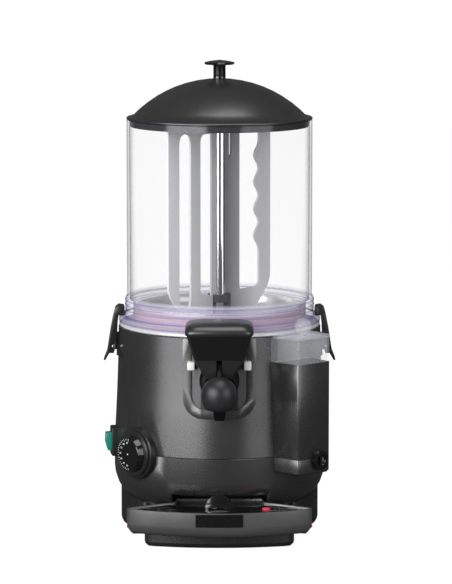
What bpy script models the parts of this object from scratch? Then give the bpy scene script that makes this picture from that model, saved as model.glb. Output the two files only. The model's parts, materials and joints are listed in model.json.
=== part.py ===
"""A heated ten litre drink dispenser with a stirrer, a front tap, a drip tray and a side water box.

Units are metres, +Z is up and the front faces -Y. Everything is modelled about the machine's own upright
axis and hangs on one empty, which sets the middle of the whole machine's depth on the world's origin.
"""

import math

import bmesh
import bpy
from mathutils import Matrix, Vector

# General clearances and facets
GAP = 0.0003
OVERRUN = 0.004
WELD = 0.000001
MERGE = 0.00001
RING_STEPS = 36
MID_STEPS = 22
SMALL_STEPS = 16
TINY_STEPS = 10
CORNER_STEPS = 3
EDGE_BREAK = 0.0006

# Lid
LID_LIP_RADIUS = 0.1130
LID_LIP_HEIGHT = 0.0030
LID_DOME_RADIUS = 0.1070
LID_DOME_RISE = 0.0465
LID_SHEET = 0.0016
LID_SCREW_HOLE = 0.0024
SKIRT_RADIUS = 0.1086
SKIRT_WALL = 0.0012
SKIRT_DEPTH = 0.0079
SKIRT_FLANGE = 0.0040
KNOB_RADIUS = 0.0185
KNOB_STEM_RADIUS = 0.0075
KNOB_STEM_LENGTH = 0.0165
KNOB_CAP_HEIGHT = 0.0058
KNOB_BORE = 0.0022
KNOB_BORE_DEPTH = 0.0120

# Container and its seal
CONTAINER_TOP = 0.5012
CONTAINER_RADIUS = 0.1128
CONTAINER_WALL = 0.0032
COLLAR_TOP = 0.2835
COLLAR_RADIUS = 0.1150
COLLAR_FLARE = 0.0050
COLLAR_BORE = 0.1052
BEAD_RISE = 0.0008
BEAD_HALF = 0.0012
BEAD_PITCH = 0.0060
FLANGE_RADIUS = 0.1226
FLANGE_TOP = 0.2628
FLANGE_BOTTOM = 0.2553
SEAL_INNER = 0.1003
SEAL_TOP = 0.2720
SEAL_LIP = 0.0014

# Bowl, top ring and water bath
BOWL_RADIUS = 0.1000
BOWL_WALL = 0.0012
BOWL_RIM = 0.2765
BOWL_LIP_DEPTH = 0.0085
BOWL_STRAIGHT = BOWL_RIM - BOWL_LIP_DEPTH
SUMP_RADIUS = 0.0310
SUMP_TOP = 0.2140
SUMP_FLOOR = 0.1880
BOWL_CURVE_SHARE = 0.35
BOWL_CURVE_STEPS = 6
SHAFT_SLEEVE_RADIUS = 0.0110
OUTLET_HEIGHT = 0.2000
OUTLET_RADIUS = 0.0105
OUTLET_WALL = 0.0015
TOP_RING_RADIUS = 0.1223
TOP_RING_THICKNESS = 0.0047
TOP_RING_ROUND = 0.0012
TANK_RADIUS = 0.1125
TANK_WALL = 0.0010
TANK_BOTTOM = 0.1600
TANK_SLEEVE_RADIUS = 0.0150
HEATER_RING_RADIUS = 0.0800
HEATER_TUBE_RADIUS = 0.0040
HEATER_STAND = 0.0120
HEATER_HEIGHT = TANK_BOTTOM + HEATER_STAND
HEATER_SWEEP = 300
HEATER_POINTS = 20
HEATER_TAIL = HEATER_STAND * 2.5

# Stirrer and drive
STIRRER_TURN = 50
STIRRER_SHEET = 0.0025
STIRRER_TOP = 0.4960
STIRRER_HALF = 0.0960
STIRRER_SHOULDER = 0.2950
STIRRER_FOOT = 0.2200
STIRRER_FOOT_HALF = 0.0260
BAR_LEFT_OUTER = 0.0760
BAR_LEFT_INNER = 0.0545
GAP_LEFT_OUTER = 0.0370
SLOT_TOP = 0.4880
SLOT_BOTTOM = 0.2740
GAP_BOTTOM = 0.2880
GAP_TOP = 0.4850
GAP_INNER = 0.0165
WINDOW_INNER = 0.0365
WINDOW_OUTER = 0.0740
WINDOW_TOP = 0.4850
WINDOW_BOTTOM = 0.2900
WINDOW_CORNER = 0.0030
GAP_CORNER = 0.0080
SMALL_CORNER = 0.0015
SHOULDER_CORNER = 0.0300
WAVE_DEPTH = 0.0045
WAVE_PITCH = 0.0332
WAVE_TOP = 0.4700
WAVE_COUNT = 4
WAVE_STEPS = 6
RIGHT_GAP_TOP = 0.4850
RIGHT_GAP_BOTTOM = 0.4520
RIGHT_GAP_OUTER = 0.0205
RIGHT_GAP_STEP = 0.0060
TUBE_RADIUS = 0.0075
TUBE_WALL = 0.0012
TUBE_TOP = 0.4920
HUB_RADIUS = 0.0140
HUB_TOP = 0.2880
HUB_BOTTOM = 0.1935
SLEEVE_RADIUS = 0.0089
SLEEVE_TOP = 0.2790
SLEEVE_BOTTOM = 0.2640
HUB_WINDOW_HALF = 0.0095
SHAFT_RADIUS = 0.0050
SHAFT_TOP = 0.4700
SHAFT_SEAL_HEIGHT = 0.0042
GEARBOX_TOP = 0.1480
GEARBOX_HEIGHT = 0.0340
GEARBOX_LENGTH = 0.0860
GEARBOX_WIDTH = 0.0640
MOTOR_RADIUS = 0.0300
MOTOR_BOTTOM = 0.0560
MOTOR_OFFSET = 0.0100
GEARBOX_BOSS_RADIUS = 0.0120
GEARBOX_BOSS_HEIGHT = 0.0060
BRACKET_THICKNESS = 0.0020
BRACKET_WIDTH = 0.0800

# Body shells
BODY_TOP = 0.2500
BODY_TOP_RADIUS = 0.1232
SEAM_HEIGHT = 0.1058
SEAM_RADIUS = 0.1288
SWELL_POWER = 1.5
SWELL_STEPS = 5
BODY_WALL = 0.0030
BODY_FLANGE_RADIUS = 0.1150
BELLY_START = 0.0780
BELLY_BOTTOM = 0.0340
BELLY_FLAT_RADIUS = 0.0840
BELLY_STEPS = 7
BELLY_HOLE = 0.0450
POCKET_HALF = 0.0565
POCKET_TOP = 0.0600
POCKET_REAR = 0.0800
POCKET_WALL = 0.0030

# Pedestal, front foot and what is under and behind them
PEDESTAL_HALF = 0.1210
PEDESTAL_FRONT = 0.0600
PEDESTAL_REAR = 0.1320
PEDESTAL_FRONT_CORNER = 0.0700
PEDESTAL_REAR_CORNER = 0.0350
PEDESTAL_BOTTOM = 0.0030
PEDESTAL_TOP = 0.0720
PEDESTAL_FILLET = 0.0080
PEDESTAL_RIM = 0.0260
PEDESTAL_RIM_TOP = 0.0110
PEDESTAL_WALL = 0.0040
CORNER_FINE = 6
FOOT_HALF = 0.0894
FOOT_FRONT = 0.1420
FOOT_SAGITTA = 0.0140
FOOT_BOTTOM = 0.0
FOOT_HEIGHT = 0.0195
FOOT_FILLET = 0.0060
FOOT_CORNER = 0.0120
FOOT_ARC_STEPS = 8
RUBBER_RADIUS = 0.0100
RUBBER_SIDE = 0.1040
RUBBER_FRONT = -0.0100
RUBBER_REAR_SIDE = 0.0985
RUBBER_REAR = 0.1095
PANEL_HALF = 0.0750
PANEL_BOTTOM = 0.0140
PANEL_TOP = 0.0640
PANEL_THICKNESS = 0.0015
PANEL_CORNER = 0.0040
VENT_COUNT = 5
VENT_HALF = 0.0300
VENT_HEIGHT = 0.0030
VENT_PITCH = 0.0070
VENT_SIDE = 0.0350
GLAND_SIDE = -0.0480
GLAND_HEIGHT = 0.0390
GLAND_RADIUS = 0.0100
GLAND_NOSE_RADIUS = 0.0070
GLAND_BORE = 0.0040
GLAND_FLANGE = 0.0030
GLAND_LENGTH = 0.0140

# Tap
ESCUTCHEON_HALF = 0.0436
ESCUTCHEON_BOTTOM = 0.1539
ESCUTCHEON_CORNER = 0.0240
ESCUTCHEON_PROUD = 0.0022
MOUNT_HALF = 0.0322
MOUNT_BOTTOM = 0.1654
MOUNT_TOP = 0.2480
MOUNT_CORNER = 0.0160
MOUNT_GROOVE = 0.0009
MOUNT_PROUD = 0.0034
BARREL_RADIUS = 0.0230
CHAMBER_STAND = 0.0167
CHAMBER_SET = SEAM_RADIUS + CHAMBER_STAND
CHAMBER_RADIUS = 0.0095
CHAMBER_WEB = 0.0010
BARREL_REAR = 0.1145
BARREL_FRONT = CHAMBER_SET - CHAMBER_RADIUS - CHAMBER_WEB
BARREL_BORE = 0.0090
BARREL_RELIEF = 0.0009
CHAMBER_BORE = 0.0062
CHAMBER_BOTTOM = 0.1720
CHAMBER_TOP = 0.2160
CHAMBER_CAP = 0.0020
NOZZLE_RADIUS = 0.0082
NOZZLE_TIP_RADIUS = 0.0062
NOZZLE_BORE = 0.0046
NOZZLE_BOTTOM = 0.1560
PLUNGER_RADIUS = 0.0056
PLUNGER_NECK = 0.0024
PLUNGER_BOTTOM = 0.1760
PLUNGER_SHOULDER = 0.2020
PLUNGER_SEAL_HEIGHT = 0.1840
PLUNGER_SEAL_TUBE = 0.0012
YOKE_WIDTH = 0.0110
YOKE_DEPTH = 0.0096
YOKE_BOTTOM = 0.2320
YOKE_TOP = 0.2450
LEVER_THICKNESS = 0.0048
LEVER_LINK = 0.0130
PIVOT_SET = CHAMBER_SET - LEVER_LINK
PIVOT_HEIGHT = 0.2400
PIVOT_PIN_REACH = 0.0250
PIN_RADIUS = 0.0015
PIN_PLAY = 0.0009
LEVER_HUB = 0.0050
KNOB_BALL_STAND = 0.0245
KNOB_BALL_SET = CHAMBER_SET + KNOB_BALL_STAND
KNOB_BALL_HEIGHT = 0.1911
KNOB_BALL_RADIUS = 0.0210
KNOB_BALL_BACK = 0.0112
KNOB_BALL_FOOT = 0.0195
KNOB_SOCKET_DEPTH = 0.0110
SPRING_WIRE = 0.0006
SPRING_RADIUS = 0.0042
SPRING_TURNS = 5
SPRING_CURL_POINTS = 10
HOOD_WALL = 0.0020
HOOD_REAR = 0.1050
HOOD_SLOT_HALF = 0.0034
HOOD_SLOT_TOP = 0.2300
HOOD_LIFT = 0.2070
HOOD_FLANGE_GAP = 0.0014
FACE_PLATE_THICKNESS = 0.0008
FACE_PLATE_TOP_HALF = 0.0345
FACE_PLATE_BOTTOM_HALF = 0.0275
FACE_PLATE_TOP = 0.2575
FACE_PLATE_BOTTOM = 0.2305
CLIP_SIDE = 0.0335
CLIP_HEIGHT = 0.2185
CLIP_WIDTH = 0.0090
CLIP_TALL = 0.0100
CLIP_FRONT = 0.1340
CLIP_REAR = 0.1100
CLIP_ROUND = 0.0015

# Drip tray
TRAY_FRONT = 0.1790
TRAY_FACE_HALF = 0.1055
TRAY_FACE_SAGITTA = 0.0280
TRAY_HALF = 0.1120
TRAY_SIDE_SET = 0.1430
TRAY_NECK_HALF = 0.0540
TRAY_NECK_SET = 0.1060
TRAY_REAR = 0.0840
TRAY_BOTTOM = 0.0198
TRAY_RIM = 0.0500
TRAY_SKIRT_TOP = 0.0330
TRAY_SKIRT_INSET = 0.0090
TRAY_SKIRT_STEPS = 3
TRAY_WALL = 0.0025
TRAY_LEDGE = 0.0020
TRAY_LEDGE_HEIGHT = 0.0455
TRAY_FLOOR = 0.0240
TRAY_ARC_STEPS = 10
TRAY_CORNER = 0.0040
GRILLE_THICKNESS = 0.0030
GRILLE_REAR_RADIUS = 0.1310
GRILLE_REAR_HALF = 0.0600
GRILLE_SIDE_HALF = 0.1040
GRILLE_SIDE_SET = 0.1440
GRILLE_FACE_HALF = 0.1010
GRILLE_SLOT_HALF = 0.0024
GRILLE_SLOT_PITCH = 0.0085
GRILLE_SLOT_FIRST = 0.1640
GRILLE_SLOT_ROWS = 5
GRILLE_RIM = 0.0050
GRILLE_RIB = 0.0020
GRILLE_RIB_SIDES = (0.0385, 0.0720)
DRAIN_SET = 0.1500
DRAIN_HOLE_RADIUS = 0.0140
DRAIN_RING = 0.0045
FLOAT_SIDE = 0.0555
FLOAT_HOLE_RADIUS = 0.0036
FLOAT_RING = 0.0035
FLOAT_CAP_RADIUS = 0.0048
FLOAT_CAP_HEIGHT = 0.0022
FLOAT_BASE_RADIUS = 0.0070
FLOAT_BASE_HEIGHT = 0.0075
FLOAT_RISE = 0.0080
TAB_SET = 0.1335
TAB_RADIUS = 0.0170
TAB_THICKNESS = 0.0022
TRAY_PLATE_HALF = 0.0278
TRAY_PLATE_BOTTOM = 0.0335
TRAY_PLATE_TOP = 0.0488
TRAY_PLATE_THICKNESS = 0.0008

# Dial and switch
DIAL_ANGLE = -50
DIAL_HEIGHT = 0.1055
DIAL_BOSS_RADIUS = 0.0315
DIAL_BOSS_FACE = 0.1335
DIAL_RING_RADIUS = 0.0280
DIAL_RING_FACE = 0.1365
DIAL_RADIUS = 0.0200
DIAL_SKIRT_RADIUS = 0.0225
DIAL_FACE = 0.1440
DIAL_SHAFT_RADIUS = 0.0030
DIAL_SHAFT_HOLE = 0.0080
DIAL_BOSS_REAR = 0.1120
THERMOSTAT_RADIUS = 0.0160
THERMOSTAT_REAR = 0.0880
THERMOSTAT_FRONT = 0.1100
SWITCH_ANGLE = -82
SWITCH_HEIGHT = 0.1095
SWITCH_WIDTH = 0.0220
SWITCH_TALL = 0.0355
SWITCH_FACE = 0.1340
SWITCH_NECK_WIDTH = 0.0190
SWITCH_NECK_TALL = 0.0280
SWITCH_REAR = 0.1080
SWITCH_ROUND = 0.0015
ROCKER_WIDTH = 0.0150
ROCKER_TALL = 0.0217
ROCKER_PLAY = 0.0008
ROCKER_FLOOR = 0.1285
ROCKER_BACK = 0.1310
ROCKER_AXIS = 0.1335
ROCKER_EDGE = 0.1392
ROCKER_PEAK = 0.1408
ROCKER_TILT = 6

# Side water box
BOX_ANGLE = 43.5
BOX_FACE = 0.1645
BOX_FACE_HALF = 0.0262
BOX_ROOT_HALF = 0.0305
BOX_ROOT = 0.1100
BOX_BOTTOM = 0.0860
BOX_TOP = 0.2200
BOX_CORNER = 0.0030
BOX_WALL = 0.0025
BOX_SEAT = 0.1270
WINDOW_TOP_EDGE = 0.2495
BOX_LID_THICKNESS = 0.0026
BOX_LID_OVERHANG = 0.0012
BOX_LID_REAR = 0.1262
BOX_KNOB_SET = 0.1450
BOX_KNOB_RADIUS = 0.0100
BOX_KNOB_NECK = 0.0060
BOX_KNOB_STEM = 0.0020
DRAIN_CAP_SIDE = 0.0070
DRAIN_CAP_HEIGHT = 0.1030
DRAIN_CAP_RADIUS = 0.0120
DRAIN_CAP_THICKNESS = 0.0060
DRAIN_CAP_RECESS = 0.0075
KEY_HALF = 0.0016

# Latches
LATCH_WIDTH = 0.0260
LATCH_POCKET = 0.0184
LATCH_PIVOT = 0.1290
LATCH_PIVOT_HEIGHT = 0.2245
LATCH_PIN_RADIUS = 0.0018
LATCH_NOSE = 0.1162
LATCH_INNER = 0.1233
LATCH_HIP = 0.1250
LATCH_HEEL = 0.1290
LATCH_TOP = 0.2745
LATCH_SHOULDER = 0.1275
LATCH_WAIST = 0.1327
LATCH_WAIST_HEIGHT = 0.2490
LATCH_ELBOW = 0.1370
LATCH_ELBOW_HEIGHT = 0.2213
LATCH_TIP = 0.1415
LATCH_TIP_HEIGHT = 0.2075
LATCH_LIP = 0.0020
LATCH_BOTTOM = 0.2165
LATCH_WEB = 0.0026
EAR_RADIUS = 0.0038
EAR_THICKNESS = 0.0024
BRACKET_PLATE = 0.0018
BRACKET_BOTTOM = 0.2130
BRACKET_TOP = 0.2400

# Reach of the machine to the front and to the rear of its own axis
FRONT_REACH = KNOB_BALL_SET + KNOB_BALL_RADIUS
REAR_REACH = PEDESTAL_REAR + GAP + PANEL_THICKNESS + GLAND_LENGTH

# Shares of a height or a width, for the curved outlines
HOOD_SHARES = (
    (0.000, 0.395, 0.920, 0.15),
    (0.335, 0.735, 0.976, 0.20),
    (0.775, 0.945, 0.990, 0.20),
    (0.790, 0.990, 1.000, 0.25),
    (0.855, 1.000, 1.000, 0.34),
    (0.935, 0.955, 0.982, 0.42),
    (0.980, 0.820, 0.935, 0.46),
    (1.000, 0.540, 0.876, 0.34),
)
HOOD_HALF = 0.0405
HOOD_STAND = 0.0235
HOOD_FRONT = CHAMBER_SET + HOOD_STAND
HOOD_HEIGHT = 0.0668
LEVER_TONGUE_SHARES = (5.5, 6.86)
LEVER_UNDER_SHARES = ((3.3, 0.8, 0.6), (4.7, 3.0, 0.6), (4.7, 5.3, 0.3), (5.5, 6.2, 0.0))
LEVER_OVER_SHARES = ((6.86, 6.5, 0.6), (5.00, 4.0, 0.8), (3.0, -1.0, 0.8))
BALL_FOOT_SHARES = ((0.35, 0.985), (0.62, 0.930), (0.82, 0.840), (0.95, 0.690), (1.00, 0.520))


def clear_scene():
    for obj in list(bpy.data.objects):
        bpy.data.objects.remove(obj)


def new_collection(name):
    collection = bpy.data.collections.new(name)
    bpy.context.scene.collection.children.link(collection)
    return collection


clear_scene()
PARTS = new_collection("drink_dispenser")
CUTTERS = new_collection("cutters")
CUTTERS.hide_render = True
MACHINE = bpy.data.objects.new("machine_axis", None)
PARTS.objects.link(MACHINE)
MACHINE.location.y = (FRONT_REACH - REAR_REACH) / 2


def finish(name, colour, roughness, metallic=0.0, alpha=1.0):
    """A Principled BSDF material in a plain colour."""
    material = bpy.data.materials.new(name)
    material.use_nodes = True
    shader = material.node_tree.nodes["Principled BSDF"]
    shader.inputs["Base Color"].default_value = (*colour, 1.0)
    shader.inputs["Roughness"].default_value = roughness
    shader.inputs["Metallic"].default_value = metallic
    shader.inputs["Alpha"].default_value = alpha
    return material


BLACK_PAINT = ((0.020, 0.020, 0.021), 0.35)
BLACK_PLASTIC = ((0.030, 0.030, 0.031), 0.45)
BLACK_GLOSS = ((0.012, 0.012, 0.013), 0.18)
STEEL = ((0.62, 0.62, 0.63), 0.15, 1.0)
BRUSHED = ((0.55, 0.55, 0.56), 0.35, 1.0)
CLEAR = ((0.90, 0.90, 0.93), 0.05, 0.0, 0.35)
RED_RUBBER = ((0.60, 0.05, 0.08), 0.50)
WHITE_PLASTIC = ((0.80, 0.80, 0.78), 0.45)
GREEN_PLASTIC = ((0.02, 0.40, 0.32), 0.25)


def place(name, mesh, look=None, parent=None, matrix=None):
    """A named object in the parts, or in the cutters where it has no look."""
    obj = bpy.data.objects.new(name, mesh)
    if look:
        mesh.materials.append(finish(name, *look))
        PARTS.objects.link(obj)
    else:
        CUTTERS.objects.link(obj)
        obj.hide_render = True
        obj.display_type = "WIRE"
    obj.parent = parent or MACHINE
    if matrix:
        obj.matrix_local = matrix
    return obj


def axis_empty(name, location, matrix=None, parent=None):
    """An empty on a joint's axis or at a group's place."""
    empty = bpy.data.objects.new(name, None)
    PARTS.objects.link(empty)
    empty.parent = parent or MACHINE
    empty.matrix_local = Matrix.Translation(location) @ (matrix or Matrix())
    return empty


def facing(angle):
    """The turn that sends local Z outwards at an angle from the front, with local Y upwards."""
    turn = math.radians(angle)
    outward = Vector((math.sin(turn), -math.cos(turn), 0))
    up = Vector((0, 0, 1))
    return Matrix((up.cross(outward), up, outward)).transposed().to_4x4()


def arc(centre, radius, start, end, steps):
    """Points round a centre from one angle to another, in degrees."""
    angles = (math.radians(start + (end - start) * step / steps) for step in range(steps + 1))
    return [(centre[0] + radius * math.cos(a), centre[1] + radius * math.sin(a)) for a in angles]


def area_of(points):
    return sum(a[0] * b[1] - b[0] * a[1] for a, b in zip(points, points[1:] + points[:1])) / 2


def turned(name, profile, look=None, steps=RING_STEPS, parent=None, matrix=None):
    """A turned solid: its (radius, height) profile swept round Z by a Screw modifier."""
    points = profile if area_of(profile) < 0 else profile[::-1]
    edges = [(index, index + 1) for index in range(len(points) - 1)]
    if min(radius for radius, _ in points) > WELD:
        edges.append((len(points) - 1, 0))
    mesh = bpy.data.meshes.new(name)
    mesh.from_pydata([(radius, 0, height) for radius, height in points], edges, [])
    obj = place(name, mesh, look, parent, matrix)
    screw = obj.modifiers.new("turn", "SCREW")
    screw.steps = screw.render_steps = steps
    screw.use_merge_vertices = True
    screw.merge_threshold = MERGE
    screw.use_smooth_shade = True
    return obj


def rounded(corners, steps=CORNER_STEPS):
    """A closed outline through (x, y, fillet radius) corners."""
    points = []
    for index, (x, y, radius) in enumerate(corners):
        here = Vector((x, y))
        if not radius:
            points.append((x, y))
            continue
        back = (Vector(corners[index - 1][:2]) - here).normalized()
        ahead = (Vector(corners[(index + 1) % len(corners)][:2]) - here).normalized()
        half = back.angle(ahead) / 2
        centre = here + (back + ahead).normalized() * radius / math.sin(half)
        first = here + back * radius / math.tan(half) - centre
        last = here + ahead * radius / math.tan(half) - centre
        sweep = first.angle_signed(last)
        for step in range(steps + 1):
            spoke = first.copy()
            spoke.rotate(Matrix.Rotation(-sweep * step / steps, 2))
            points.append(tuple(centre + spoke))
    return points


def offset(points, distance):
    """A closed outline that runs anticlockwise, moved outwards by a distance."""
    moved = []
    for index, point in enumerate(points):
        here = Vector(point)
        before = (here - Vector(points[index - 1])).normalized()
        after = (Vector(points[(index + 1) % len(points)]) - here).normalized()
        normals = Vector((before.y, -before.x)) + Vector((after.y, -after.x))
        mitre = normals / normals.dot(Vector((before.y, -before.x)))
        moved.append(tuple(here + mitre * distance))
    return moved


def mesh_of(work, name):
    bmesh.ops.recalc_face_normals(work, faces=work.faces)
    mesh = bpy.data.meshes.new(name)
    work.to_mesh(mesh)
    work.free()
    return mesh


def lofted(name, rings, look=None, parent=None, matrix=None):
    """A solid through closed rings of as many 3D points each, capped at both ends."""
    work = bmesh.new()
    rows = [[work.verts.new(point) for point in ring] for ring in rings]
    for lower, upper in zip(rows, rows[1:]):
        for index in range(len(lower)):
            after = (index + 1) % len(lower)
            work.faces.new((lower[index], lower[after], upper[after], upper[index]))
    work.faces.new(rows[0])
    work.faces.new(rows[-1])
    return place(name, mesh_of(work, name), look, parent, matrix)


def level(outline, height):
    """A flat outline lifted to a height."""
    return [(x, y, height) for x, y in outline]


def plate(name, outlines, thickness, look=None, parent=None, matrix=None):
    """A flat piece: a filled 2D curve, its holes the outlines after the first, given a thickness."""
    curve = bpy.data.curves.new(name, "CURVE")
    curve.dimensions = "2D"
    curve.fill_mode = "BOTH"
    curve.extrude = thickness / 2
    for outline in outlines:
        spline = curve.splines.new("POLY")
        spline.points.add(len(outline) - 1)
        for point, (x, y) in zip(spline.points, outline):
            point.co = (x, y, 0, 1)
        spline.use_cyclic_u = True
    return mesh_from_curve(name, curve, look, parent, matrix)


def pierced(name, outlines, thickness, look, parent, matrix=None):
    """A flat piece whose openings, the outlines after the first, are cut through it."""
    sheet = plate(name, outlines[:1], thickness, look, parent, matrix)
    return cut(sheet, plate(name + "_openings", outlines[1:], thickness * 3, None, parent, matrix))


def tube(name, path, radius, look=None, parent=None, matrix=None, resolution=1):
    """A round wire along points, with filled ends."""
    curve = bpy.data.curves.new(name, "CURVE")
    curve.dimensions = "3D"
    curve.bevel_depth = radius
    curve.bevel_resolution = resolution
    curve.use_fill_caps = True
    spline = curve.splines.new("POLY")
    spline.points.add(len(path) - 1)
    for point, place_of in zip(spline.points, path):
        point.co = (*place_of, 1)
    return mesh_from_curve(name, curve, look, parent, matrix)


def mesh_from_curve(name, curve, look, parent, matrix):
    guide = bpy.data.objects.new(name + "_guide", curve)
    bpy.context.scene.collection.objects.link(guide)
    bpy.context.view_layer.update()
    graph = bpy.context.evaluated_depsgraph_get()
    mesh = bpy.data.meshes.new_from_object(guide.evaluated_get(graph))
    bpy.data.objects.remove(guide)
    mesh.name = name
    mesh.materials.clear()
    work = bmesh.new()
    work.from_mesh(mesh)
    bmesh.ops.remove_doubles(work, verts=work.verts, dist=WELD)
    bmesh.ops.recalc_face_normals(work, faces=work.faces)
    work.to_mesh(mesh)
    work.free()
    return place(name, mesh, look, parent, matrix)


def box(name, low, high, look=None, parent=None, matrix=None, bevel=0.0, segments=1):
    """A box between two corners, with its edges rounded by a Bevel modifier."""
    work = bmesh.new()
    bmesh.ops.create_cube(work, size=1)
    size = [b - a for a, b in zip(low, high)]
    middle = [(a + b) / 2 for a, b in zip(low, high)]
    bmesh.ops.transform(work, verts=work.verts, matrix=Matrix.Translation(middle) @ Matrix.Diagonal((*size, 1)))
    obj = place(name, mesh_of(work, name), look, parent, matrix)
    if bevel:
        modifier = obj.modifiers.new("round", "BEVEL")
        modifier.width = bevel
        modifier.segments = segments
    return obj


def rod(name, radius, low, high, look=None, parent=None, matrix=None, steps=SMALL_STEPS):
    """A round bar along local Z between two heights."""
    work = bmesh.new()
    shape = Matrix.Translation((0, 0, (low + high) / 2))
    bmesh.ops.create_cone(work, cap_ends=True, segments=steps, radius1=radius, radius2=radius,
                          depth=high - low, matrix=shape)
    return place(name, mesh_of(work, name), look, parent, matrix)


def combine(obj, other, operation):
    modifier = obj.modifiers.new(operation.lower() + "_" + other.name, "BOOLEAN")
    modifier.operation = operation
    modifier.object = other
    return obj


def cut(obj, *others):
    for other in others:
        combine(obj, other, "DIFFERENCE")
    return obj


ALONG_Y = Matrix.Rotation(math.radians(90), 4, "X")
ALONG_X = Matrix.Rotation(math.radians(90), 4, "Y")


def moved(x=0.0, y=0.0, z=0.0):
    return Matrix.Translation((x, y, z))


def swell(height):
    """The body's outer radius at a height, from the belly's start to the top."""
    share = (BODY_TOP - height) / (BODY_TOP - SEAM_HEIGHT)
    return BODY_TOP_RADIUS + (SEAM_RADIUS - BODY_TOP_RADIUS) * min(share, 1) ** SWELL_POWER


def upper_profile(extra=0.0):
    heights = [BODY_TOP + (SEAM_HEIGHT - BODY_TOP) * step / SWELL_STEPS for step in range(SWELL_STEPS + 1)]
    return [(swell(height) + extra, height) for height in heights]


def belly_profile(extra=0.0, steps=BELLY_STEPS):
    """The belly from its start down to the edge of its flat bottom."""
    wide = SEAM_RADIUS - BELLY_FLAT_RADIUS + extra
    deep = BELLY_START - BELLY_BOTTOM + extra
    turns = [math.radians(90 * step / steps) for step in range(steps + 1)]
    return [(BELLY_FLAT_RADIUS + wide * math.cos(a), BELLY_START - deep * math.sin(a)) for a in turns]


def body_cutter(name, extra):
    """The whole body as a solid, larger by extra, for seating what stands on its skin."""
    below = belly_profile(extra)
    profile = [(0, BODY_TOP + extra)] + [(BODY_TOP_RADIUS + extra, BODY_TOP + extra)]
    profile += upper_profile(extra) + below + [(0, below[-1][1])]
    return turned(name, profile)


def build_lid():
    lip_low = CONTAINER_TOP + GAP
    lip_top = lip_low + LID_LIP_HEIGHT
    ball = (LID_DOME_RADIUS ** 2 + LID_DOME_RISE ** 2) / (2 * LID_DOME_RISE)
    centre = (0, lip_top + LID_DOME_RISE - ball)
    rim = math.degrees(math.atan2(lip_top - centre[1], LID_DOME_RADIUS))
    inner = ball - LID_SHEET
    inner_rim = math.degrees(math.asin((lip_low - centre[1]) / inner))
    peak = math.degrees(math.acos(LID_SCREW_HOLE / ball))
    outer = arc(centre, ball, peak, rim, 9)
    lip = LID_LIP_HEIGHT / 4
    profile = outer + [(LID_LIP_RADIUS - lip, lip_top), (LID_LIP_RADIUS, lip_top - lip)]
    profile += [(LID_LIP_RADIUS, lip_low + lip), (LID_LIP_RADIUS - lip, lip_low)]
    profile += arc(centre, inner, inner_rim, peak, 6)
    turned("lid_dome", profile, BLACK_PAINT)

    skirt_top = lip_low - GAP
    skirt_inner = SKIRT_RADIUS - SKIRT_WALL
    turned("lid_skirt_ring", [
        (SKIRT_RADIUS, skirt_top), (SKIRT_RADIUS, skirt_top - SKIRT_DEPTH),
        (skirt_inner, skirt_top - SKIRT_DEPTH), (skirt_inner, skirt_top - SKIRT_WALL),
        (skirt_inner - SKIRT_FLANGE, skirt_top - SKIRT_WALL), (skirt_inner - SKIRT_FLANGE, skirt_top),
    ], STEEL)

    foot = lip_top + LID_DOME_RISE + GAP
    under = foot + KNOB_STEM_LENGTH
    top = under + KNOB_CAP_HEIGHT
    edge = KNOB_CAP_HEIGHT / 4
    shoulder = KNOB_RADIUS * 0.6
    turned("lid_knob", [
        (0, top), (shoulder, top - edge), (KNOB_RADIUS - edge / 2, under + edge * 2),
        (KNOB_RADIUS, under + edge),
        (KNOB_RADIUS - edge, under), (KNOB_STEM_RADIUS + edge, under), (KNOB_STEM_RADIUS, under - edge),
        (KNOB_STEM_RADIUS, foot), (KNOB_BORE, foot), (KNOB_BORE, foot + KNOB_BORE_DEPTH),
        (0, foot + KNOB_BORE_DEPTH),
    ], BLACK_GLOSS, MID_STEPS)


def build_container():
    inner = CONTAINER_RADIUS - CONTAINER_WALL
    beads = []
    for step in range(2):
        middle = COLLAR_TOP - BEAD_HALF - BEAD_PITCH * step
        beads += [(COLLAR_RADIUS, middle + BEAD_HALF), (COLLAR_RADIUS + BEAD_RISE, middle),
                  (COLLAR_RADIUS, middle - BEAD_HALF)]
    wall = [(CONTAINER_RADIUS, CONTAINER_TOP), (CONTAINER_RADIUS, COLLAR_TOP + COLLAR_FLARE)]
    turned("container", wall + beads + [
        (COLLAR_RADIUS, FLANGE_TOP + EDGE_BREAK), (COLLAR_RADIUS + EDGE_BREAK, FLANGE_TOP),
        (FLANGE_RADIUS - EDGE_BREAK, FLANGE_TOP), (FLANGE_RADIUS, FLANGE_TOP - EDGE_BREAK),
        (FLANGE_RADIUS, FLANGE_BOTTOM), (COLLAR_BORE, FLANGE_BOTTOM),
        (COLLAR_BORE, COLLAR_TOP - CONTAINER_WALL), (inner, COLLAR_TOP - BEAD_HALF), (inner, CONTAINER_TOP),
    ], CLEAR)
    outer = COLLAR_BORE - GAP
    foot = FLANGE_BOTTOM
    turned("container_seal", [
        (outer, foot), (outer, SEAL_TOP - SEAL_LIP * 2), (outer - SEAL_LIP, SEAL_TOP),
        (SEAL_INNER, SEAL_TOP), (SEAL_INNER, foot),
    ], RED_RUBBER)


def bowl_curve(inset):
    """The funnel of the bowl from its straight rim down to the sump, moved in by a wall."""
    wide = BOWL_RADIUS - inset - SUMP_RADIUS
    deep = BOWL_STRAIGHT - SUMP_TOP
    points = []
    for step in range(BOWL_CURVE_STEPS + 1):
        share = step / BOWL_CURVE_STEPS
        bulge = BOWL_CURVE_SHARE * math.sin(math.pi * share) / 2
        points.append((SUMP_RADIUS + wide * (1 - share + bulge * (1 - share)), BOWL_STRAIGHT - deep * share))
    return points


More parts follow.
